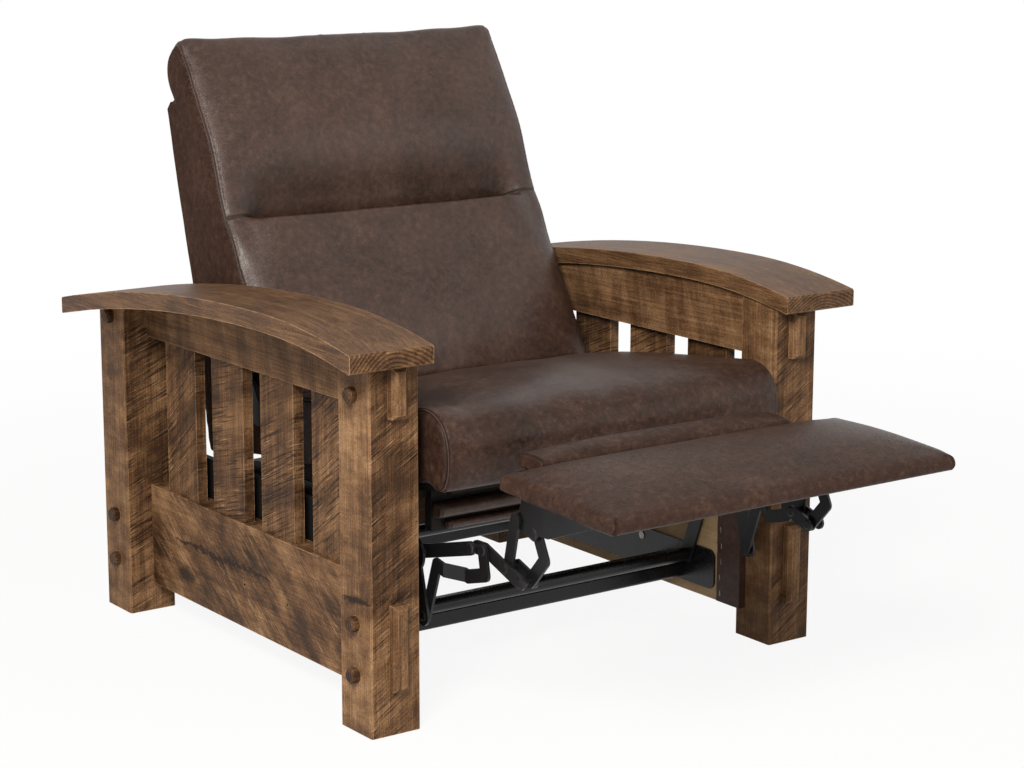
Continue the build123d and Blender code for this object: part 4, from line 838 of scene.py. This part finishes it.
def cord_along(name, points, radius, material):
    """A thin welt or thread that follows a sewn line."""
    curve = bpy.data.curves.new(name, "CURVE")
    curve.dimensions = "3D"
    curve.bevel_depth = radius
    curve.bevel_resolution = 3
    line = curve.splines.new("POLY")
    line.points.add(len(points) - 1)
    for spot, point in zip(line.points, points):
        spot.co = (*point, 1)
    line.use_cyclic_u = True
    drawn = bpy.data.objects.new(name, curve)
    scene.collection.objects.link(drawn)
    graph = bpy.context.evaluated_depsgraph_get()
    mesh = bpy.data.meshes.new_from_object(drawn.evaluated_get(graph), depsgraph=graph)
    bpy.data.objects.remove(drawn)
    return new_piece(name, mesh, material)


def between(value, low, high):
    """0 below a range, 1 above it, smooth in between."""
    share = min(1.0, max(0.0, (value - low) / (high - low)))
    return share * share * (3 - 2 * share)


def back_place(point):
    """Across, up and depth of a point on the back."""
    offset = point - BACK_START
    return point.x, offset.dot(BACK_UP), offset.dot(BACK_DEEP)


def foot_place(point):
    """Across, forward and height of a point on the footrest."""
    offset = point - FOOT_START
    return point.x, offset.dot(FOOT_OUT), offset.dot(FOOT_UP)


def seat_place(point):
    """Across, back and height of a point on the seat."""
    offset = point - SEAT_START
    return point.x, offset.dot(SEAT_RUN), offset.dot(SEAT_UP)


HIDE_BODY = leather("brown_hide", 0.0, shine=0.30)
HIDE_SEAT = leather("brown_hide_seat", 2.0, deep=(0.016, 0.0078, 0.0054), body=(0.043, 0.0220, 0.0152),
                    rough=0.34, shine=0.14)
HIDE_SIDE = leather("brown_hide_side", 1.0, rough=0.58, shine=0.03)
HIDE_FOOT = leather("brown_hide_foot", 3.0, body=(0.046, 0.0230, 0.0152), pebble=430.0, rise=0.0006,
                    shine=0.08)
HIDE_WRAP = leather("brown_hide_wrap", 5.0, deep=(0.022, 0.010, 0.007), body=(0.050, 0.024, 0.017),
                    rubbed=(0.10, 0.05, 0.034), rough=0.5)
WELT = leather("brown_hide_welt", 7.0, deep=(0.030, 0.016, 0.012), body=(0.070, 0.041, 0.031),
               rubbed=(0.14, 0.084, 0.06), rough=0.40, pebble=900.0, rise=0.0002)


def ride_soft(piece, body, node):
    """A padded piece stands in for its CAD node and moves with its body."""
    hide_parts(node)
    attach(piece, body)


def side_seams(piece, across, step, half, depth, lip, welts=None):
    """Press a seam round both ends of a piece, each with its folded edge if welts are named."""
    for label, side in LEFT_RIGHT.items():
        points = even_line(cut_line(piece, (side * across, 0, 0), X_WAY), step, True)
        press_line(piece, points, half, depth, 1.0, lip, Vector((-side, 0, 0)))
        if welts:
            name, body, inset, radius = welts
            line = even_line([point + Vector((-side * inset, 0, 0)) for point in points], 0.004, True)
            attach(cord_along(f"{name}_{label}", line, radius, WELT), body)


def make_seat():
    """The seat cushion: rolled front, crowned top, and side panels with seams all round."""
    piece = soft_copy("seat_cushion", "seat_cover", 0.006)

    def free(point):
        across, back, up = seat_place(point)
        return between(up, 0.001, 0.018) * between(0.43 - back, 0.0, 0.03)
    stuff(piece, 0.007, 0.011, free)
    divide_once(piece)

    def crown(point, way):
        across, back, up = seat_place(point)
        end = between(abs(across), 0.27, SEAT_SEAM + 0.0025)
        hanging = between(0.055 - up, 0.0, 0.05) * between(0.012 - back, 0.0, 0.03)
        lean = abs(way.x)
        level = math.sqrt(max(0.0, 1 - lean * lean))
        move = way * (0.003 * between(up, 0.02, 0.06) * (1 - end))
        move += SEAT_UP * (0.008 * end * between(up, 0.03, 0.08) - 0.014 * hanging)
        move -= SEAT_RUN * (0.004 * between(-back, 0.0, 0.03))
        if level > 0.12:
            full = Vector((0, way.y, way.z)) / level
            move += full * (0.008 * (1 - level) * between(level, 0.12, 0.4) * between(0.3 - back, 0.0, 0.1))
        return move
    reshape(piece, crown)
    side_seams(piece, SEAT_SEAM, 0.003, 0.0055, 0.0026, 0.0012, ("seat_seam", "carriage", 0.0012, 0.0011))
    piece.data.materials.append(HIDE_SEAT)
    ride_soft(piece, "carriage", "seat_cushion")


def boxed(piece, half):
    """Front and back panels in one hide, the sides outside their seams in a duller one."""
    piece.data.materials.append(HIDE_BODY)
    piece.data.materials.append(HIDE_SIDE)
    for polygon in piece.data.polygons:
        if abs(polygon.center.x) > half:
            polygon.material_index = 1


def make_back():
    """The back cushion: a head roll that folds into a deep channel over the lumbar part."""
    piece = soft_copy("back_cushion", "back_cover", 0.006)

    def free(point):
        across, up, deep = back_place(point)
        return between(0.068 - deep, 0.0, 0.02)
    stuff(piece, 0.007, 0.011, free)
    divide_once(piece)
    add_rows(piece, BACK_START, BACK_UP,
             [CHANNEL + step * 0.001 for step in (-13, -10, -7.5, -5.5, -4, -2.5, -1.2, 0, 1.2, 2.6, 5, 8)])

    # the crease's depth and its reach above and below the sewn line, and two fillings
    crease, above, below, lumbar, head = 0.038, 0.112, 0.016, 0.0165, 0.0135

    def fold(point, way):
        across, up, deep = back_place(point)
        rise = up - CHANNEL
        edge = abs(across) / 0.331
        full = between(0.3265 - abs(across), 0.022, 0.085)
        front = between(0.06 - deep, 0.0, 0.03)
        move = 0.0
        if rise >= 0:
            move = crease * max(0.0, 1 - rise / above) ** 2.2 * full
        elif rise > -below:
            move = crease * (1 - math.sqrt(1 - (1 + rise / below) ** 2)) * full
        move -= lumbar * between(up, 0.20, 0.315) * between(-rise, 0.0, below) * full
        move += 0.010 * max(0.0, (abs(across) - 0.262) / 0.065) ** 2 * between(0.30 - up, 0.0, 0.08)
        ahead = head * between(up, 0.345, 0.47) * between(0.072 - deep, 0.0, 0.07)
        behind = math.sin(math.pi * min(1.0, max(0.0, (up - 0.575) / 0.085))) * between(deep, 0.02, 0.04)
        sag = 0.004 * full * between(rise, -0.001, 0.003) * between(0.04 - rise, 0.0, 0.03)
        ridge = max(0.0, 1 - abs(abs(across) - 0.0475) / 0.036) ** 1.3 * between(up, 0.60, 0.645)
        lift = (0.006 + 0.006 * edge ** 4) * between(up, 0.56, 0.64)
        lift -= ridge * (0.0014 + 0.0020 * between(0.014 - deep, 0.0, 0.01))
        return BACK_DEEP * (move * front - ahead + 0.014 * behind) + BACK_UP * (lift - sag * front)
    reshape(piece, fold)
    smooth(piece, 10, lambda point: back_place(point)[1] > HEAD_TOP)
    side_seams(piece, BACK_SEAM, 0.003, 0.0055, 0.0026, 0.0014, ("back_seam", "back", 0.0012, 0.0011))
    front_line = cut_line(piece, tuple(BACK_START + BACK_UP * (CHANNEL + 0.001)), tuple(BACK_UP),
                          lambda point: back_place(point)[2] < 0.055 and abs(point.x) < 0.3255)
    press_line(piece, even_line(front_line, 0.002), 0.0042, 0.0022, 1.0)
    boxed(piece, BACK_SEAM)
    ride_soft(piece, "back", "back_cushion")


def pleat(piece, start, elbow, end, half, depth):
    """A folded corner pleat: a curved line pressed into the cover."""
    points = [start.lerp(elbow, t).lerp(elbow.lerp(end, t), t) for t in [i / 24 for i in range(25)]]
    press_line(piece, points, half, depth, 1.0, depth * 0.5, ACROSS * (1 if start.x < 0 else -1))


def make_footrest():
    """The footrest pad: leather drawn over the board, with a pleat at each front corner."""
    piece = soft_copy("footrest_pad", "footrest_cover", 0.005)

    def free(point):
        across, out, up = foot_place(point)
        return between(up, 0.004, 0.02)
    stuff(piece, 0.005, 0.008, free)
    divide_once(piece)

    def crown(point, way):
        across, out, up = foot_place(point)
        swell = max(0.0, 1 - (abs(across) / 0.335) ** 6) * max(0.0, 1 - (abs(out - 0.13) / 0.145) ** 3)
        return FOOT_UP * ((0.002 + 0.007 * swell) * between(up, 0.012, 0.028))
    reshape(piece, crown)
    for side in LEFT_RIGHT.values():
        corner = FOOT_START + ACROSS * side * 0.329 + FOOT_OUT * 0.268
        pleat(piece, corner + FOOT_UP * 0.031 - ACROSS * side * 0.006 - FOOT_OUT * 0.004,
              corner + FOOT_UP * 0.018 + FOOT_OUT * 0.010, corner + FOOT_UP * 0.0 + FOOT_OUT * 0.004
              + ACROSS * side * 0.002, 0.004, 0.0022)
    hem = cut_line(piece, tuple(FOOT_START + FOOT_UP * 0.003), tuple(FOOT_UP))
    press_line(piece, even_line(hem, 0.003, True), 0.003, 0.0008, 0.7)
    piece.data.materials.append(HIDE_FOOT)
    ride_soft(piece, "footrest", "footrest_pad")


def make_flipper():
    """The small pad that fills the space behind the footrest."""
    piece = soft_copy("flipper_pad", "flipper_cover", 0.004)

    def free(point):
        return between(foot_place(point)[2], 0.010, 0.022)
    stuff(piece, 0.004, 0.007, free)
    divide_once(piece)
    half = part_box("flipper_pad")[1][0]
    side_seams(piece, half - 0.006, 0.0025, 0.0035, 0.0014, 0.0006)
    piece.data.materials.append(HIDE_FOOT)
    ride_soft(piece, "flipper", "flipper_pad")


def make_rolls():
    """The padded rolls across the front, under the seat cushion."""
    for node, name in (("front_roll", "front_roll_cover"), ("lower_front_roll", "lower_roll_cover")):
        piece = soft_copy(node, name, 0.003 if node == "front_roll" else 0.0025)
        low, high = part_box(node)

        def free(point, rear=high[1]):
            return between(rear - point.y, 0.002, 0.008)
        stuff(piece, 0.0025, 0.004, free)
        divide_once(piece)
        side_seams(piece, high[0] - 0.005, 0.0025, 0.0032, 0.0014, 0.0006,
                   (f"{name}_seam", "carriage", 0.0009, 0.0008))
        piece.data.materials.append(HIDE_BODY)
        ride_soft(piece, "carriage", node)


def make_outer_back():
    """The padded shell behind the back, with a seam down each side."""
    piece = soft_copy("outer_back", "outer_back_cover", 0.006)
    smooth(piece, 3)
    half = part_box("outer_back")[1][0]

    def swollen(point, way):
        across, up, deep = back_place(point)
        swell = (1 - min(1.0, abs(across) / half) ** 3) * (1 - min(1.0, abs(up - 0.25) / 0.33) ** 2)
        bulge = max(0.0, swell) * between(way.dot(BACK_DEEP), 0.2, 0.6) * between(deep, 0.09, 0.12)
        spare = 0.020 * between(deep, 0.10, 0.18) * between(up, -0.07, 0.01) * between(-up, -0.30, -0.10)
        return way * (0.006 * bulge) + BACK_DEEP * spare
    reshape(piece, swollen)
    divide_once(piece)
    seam = half - 0.004
    side_seams(piece, seam, 0.0035, 0.0045, 0.0012, 0.0008)
    boxed(piece, seam)
    ride_soft(piece, "back", "outer_back")


def make_side_facings():
    """Leather over the sides of the back, from the cushion to the outer shell."""
    outline = ((0.214, 0.069), (0.40, 0.0685), (0.572, 0.069), (0.580, 0.082), (0.575, 0.100),
               (0.45, 0.1385), (0.30, 0.1795), (0.214, 0.2035))
    for label, side in LEFT_RIGHT.items():
        form = bmesh.new()
        verts = [form.verts.new(BACK_START + BACK_UP * up + BACK_DEEP * deep + ACROSS * side * 0.3238)
                 for up, deep in outline]
        face = form.faces.new(verts)
        made = bmesh.ops.extrude_face_region(form, geom=[face])
        raised_verts = [item for item in made["geom"] if isinstance(item, bmesh.types.BMVert)]
        bmesh.ops.translate(form, verts=raised_verts, vec=ACROSS * side * 0.0030)
        bmesh.ops.recalc_face_normals(form, faces=form.faces)
        edges = [edge for edge in form.edges if all(vert in raised_verts for vert in edge.verts)]
        bmesh.ops.bevel(form, geom=edges, offset=0.0014, segments=3, profile=0.5, affect="EDGES",
                        material=-1)
        for place in range(1, 30):
            for way, step in ((BACK_UP, 0.214 + 0.0125 * place), (BACK_DEEP, 0.066 + 0.005 * place)):
                slice_at(form, BACK_START + way * step, way, 0.0001)
        form.normal_update()
        for vert in form.verts:
            if vert.normal.x * side > 0.7:
                vert.co.x += side * 0.0007 * noise.noise(vert.co * 21.0)
        name = f"back_side_facing_{label}"
        attach(new_piece(name, mesh_of(form, name), HIDE_SIDE), "back")


def make_wraps():
    """Leather glued and stapled round the front edge of each plywood panel."""
    steel = zinc_steel("staple_wire")
    for label, side in LEFT_RIGHT.items():
        node = f"{label}_panel_wrap"
        mesh = nodes[node].data.copy()
        mesh.materials.clear()
        weld(mesh)
        low, high = (Vector(corner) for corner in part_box(node))
        form = bmesh.new()
        form.from_mesh(mesh)
        for axis, step in ((2, 0.006), (1, 0.006)):
            way = Vector(Y_WAY if axis == 1 else Z_WAY)
            place = low[axis] + step
            while place < high[axis] - step / 2:
                slice_at(form, way * place, way, 0.000001)
                place += step
        form.normal_update()
        for vert in form.verts:
            outward = vert.normal
            lift = noise.noise(vert.co * 38.0) * 0.0006 + 0.0003
            room = between(vert.co.y, low.y, low.y + 0.01)
            if outward.x * side < -0.3:
                vert.co += Vector((-side * abs(lift), 0, 0))
            if vert.co.y > high.y - 0.003:
                vert.co.y += noise.noise(Vector((3, 7, vert.co.z * 46))) * 0.0022 * room
        form.to_mesh(mesh)
        form.free()
        piece = new_piece(f"{label}_wrap_cover", mesh, HIDE_WRAP, False)
        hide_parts(node)
        attach(piece, "base")
        staples(f"{label}_wrap_staples", side, low, high, steel)


def staples(name, side, low, high, material):
    """Wire staples that hold the wrap to the plywood."""
    form = bmesh.new()
    inner = min(abs(low.x), abs(high.x))
    place = low.z + 0.016
    index = 0
    while place < high.z - 0.008:
        made = bmesh.ops.create_cube(form, size=1.0)
        turn = Matrix.Rotation(math.radians(84 + 9 * math.sin(index * 2.4)), 4, "X")
        centre = Vector((side * (inner - 0.0009), high.y - 0.010 + 0.0016 * math.sin(index * 1.7), place))
        bmesh.ops.transform(form, matrix=Matrix.Translation(centre) @ turn
                            @ Matrix.Diagonal((0.0011, 0.0105, 0.0013, 1)), verts=made["verts"])
        place += 0.0285
        index += 1
    bmesh.ops.bevel(form, geom=form.edges[:], offset=0.0003, segments=2, profile=0.5,
                    affect="EDGES", material=-1)
    attach(new_piece(name, mesh_of(form, name), material, False), "base")


# The studio

def place_camera():
    """A camera where the photograph was taken."""
    yaw, pitch, roll = math.radians(35.7816), math.radians(-12.0097), math.radians(0.1213)
    forward = Vector((math.sin(yaw) * math.cos(pitch), math.cos(yaw) * math.cos(pitch), math.sin(pitch)))
    level_right = Vector((math.cos(yaw), -math.sin(yaw), 0))
    level_up = level_right.cross(forward)
    right = level_right * math.cos(roll) + level_up * math.sin(roll)
    up = level_up * math.cos(roll) - level_right * math.sin(roll)
    lens = bpy.data.cameras.new("camera")
    lens.lens = 2487.68 / 1024 * 36
    lens.sensor_width = 36
    camera = bpy.data.objects.new("camera", lens)
    stand = Matrix((right, up, -forward)).transposed().to_4x4()
    stand.translation = Vector((-2.388588, -3.056515 + FRONT, 1.32741))
    camera.matrix_world = stand
    scene.collection.objects.link(camera)
    scene.camera = camera


def camera_seen(tree):
    """1 where the camera, a reflection or glass looks straight at the backdrop."""
    path = tree.nodes.new("ShaderNodeLightPath").outputs
    seen = calc(tree, "MAXIMUM", path["Is Camera Ray"], path["Is Glossy Ray"])
    return calc(tree, "MAXIMUM", seen, path["Is Transmission Ray"])


def make_studio():
    """White surroundings, a pale floor, one broad key lamp and a weaker fill."""
    world = bpy.data.worlds.new("studio")
    world.use_nodes = True
    tree = world.node_tree
    background = tree.nodes["Background"]
    background.inputs["Color"].default_value = (1, 1, 1, 1)
    seen = camera_seen(tree)
    tree.links.new(raise_by(tree, seen, 0.77, 0.23), background.inputs["Strength"])
    scene.world = world
    scene.view_settings.view_transform = "Standard"
    for name, place, aim, size, power, colour in (
            ("key_lamp", (-2.75, -2.40, 3.0), (0, 0, 0.45), 1.4, 215, (1.0, 0.96, 0.91)),
            ("fill_lamp", (2.6, -3.4, 2.2), (0, 0, 0.4), 2.6, 24, (0.95, 0.98, 1.0))):
        lamp = bpy.data.lights.new(name, "AREA")
        lamp.energy = power
        lamp.size = size
        lamp.color = colour
        stand = bpy.data.objects.new(name, lamp)
        stand.location = place
        stand.rotation_euler = (Vector(aim) - Vector(place)).to_track_quat("-Z", "Y").to_euler()
        scene.collection.objects.link(stand)
    form = bmesh.new()
    bmesh.ops.create_grid(form, x_segments=1, y_segments=1, size=45)
    new_piece("floor", mesh_of(form, "floor"), floor_finish(), False)


def floor_finish():
    """Pale floor that shows nearly white to the camera and keeps the chair's soft shadow."""
    made = bpy.data.materials.new("pale_floor")
    made.use_nodes = True
    tree = made.node_tree
    shader = tree.nodes["Principled BSDF"]
    fixed(shader, Base_Color=(0.93, 0.93, 0.93, 1), Roughness=0.85, Specular_IOR_Level=0.1)
    glow = put(tree, "ShaderNodeEmission", {"Color": (1, 1, 1, 1), "Strength": 1.0})
    mix = tree.nodes.new("ShaderNodeMixShader")
    away = put(tree, "ShaderNodeVectorMath", {0: tree.nodes.new("ShaderNodeTexCoord").outputs["Object"]},
               operation="LENGTH").outputs["Value"]
    white = eased(tree, away, 0.9, 3.2, 0.91, 1.0)
    tree.links.new(times(tree, camera_seen(tree), white), mix.inputs[0])
    tree.links.new(shader.outputs[0], mix.inputs[1])
    tree.links.new(glow.outputs[0], mix.inputs[2])
    tree.links.new(mix.outputs[0], tree.nodes["Material Output"].inputs["Surface"])
    return made


place_camera()
dress_woodwork()
dress_boards_and_steel()
make_seat()
make_back()
make_footrest()
make_flipper()
make_rolls()
make_outer_back()
make_side_facings()
make_wraps()
make_studio()
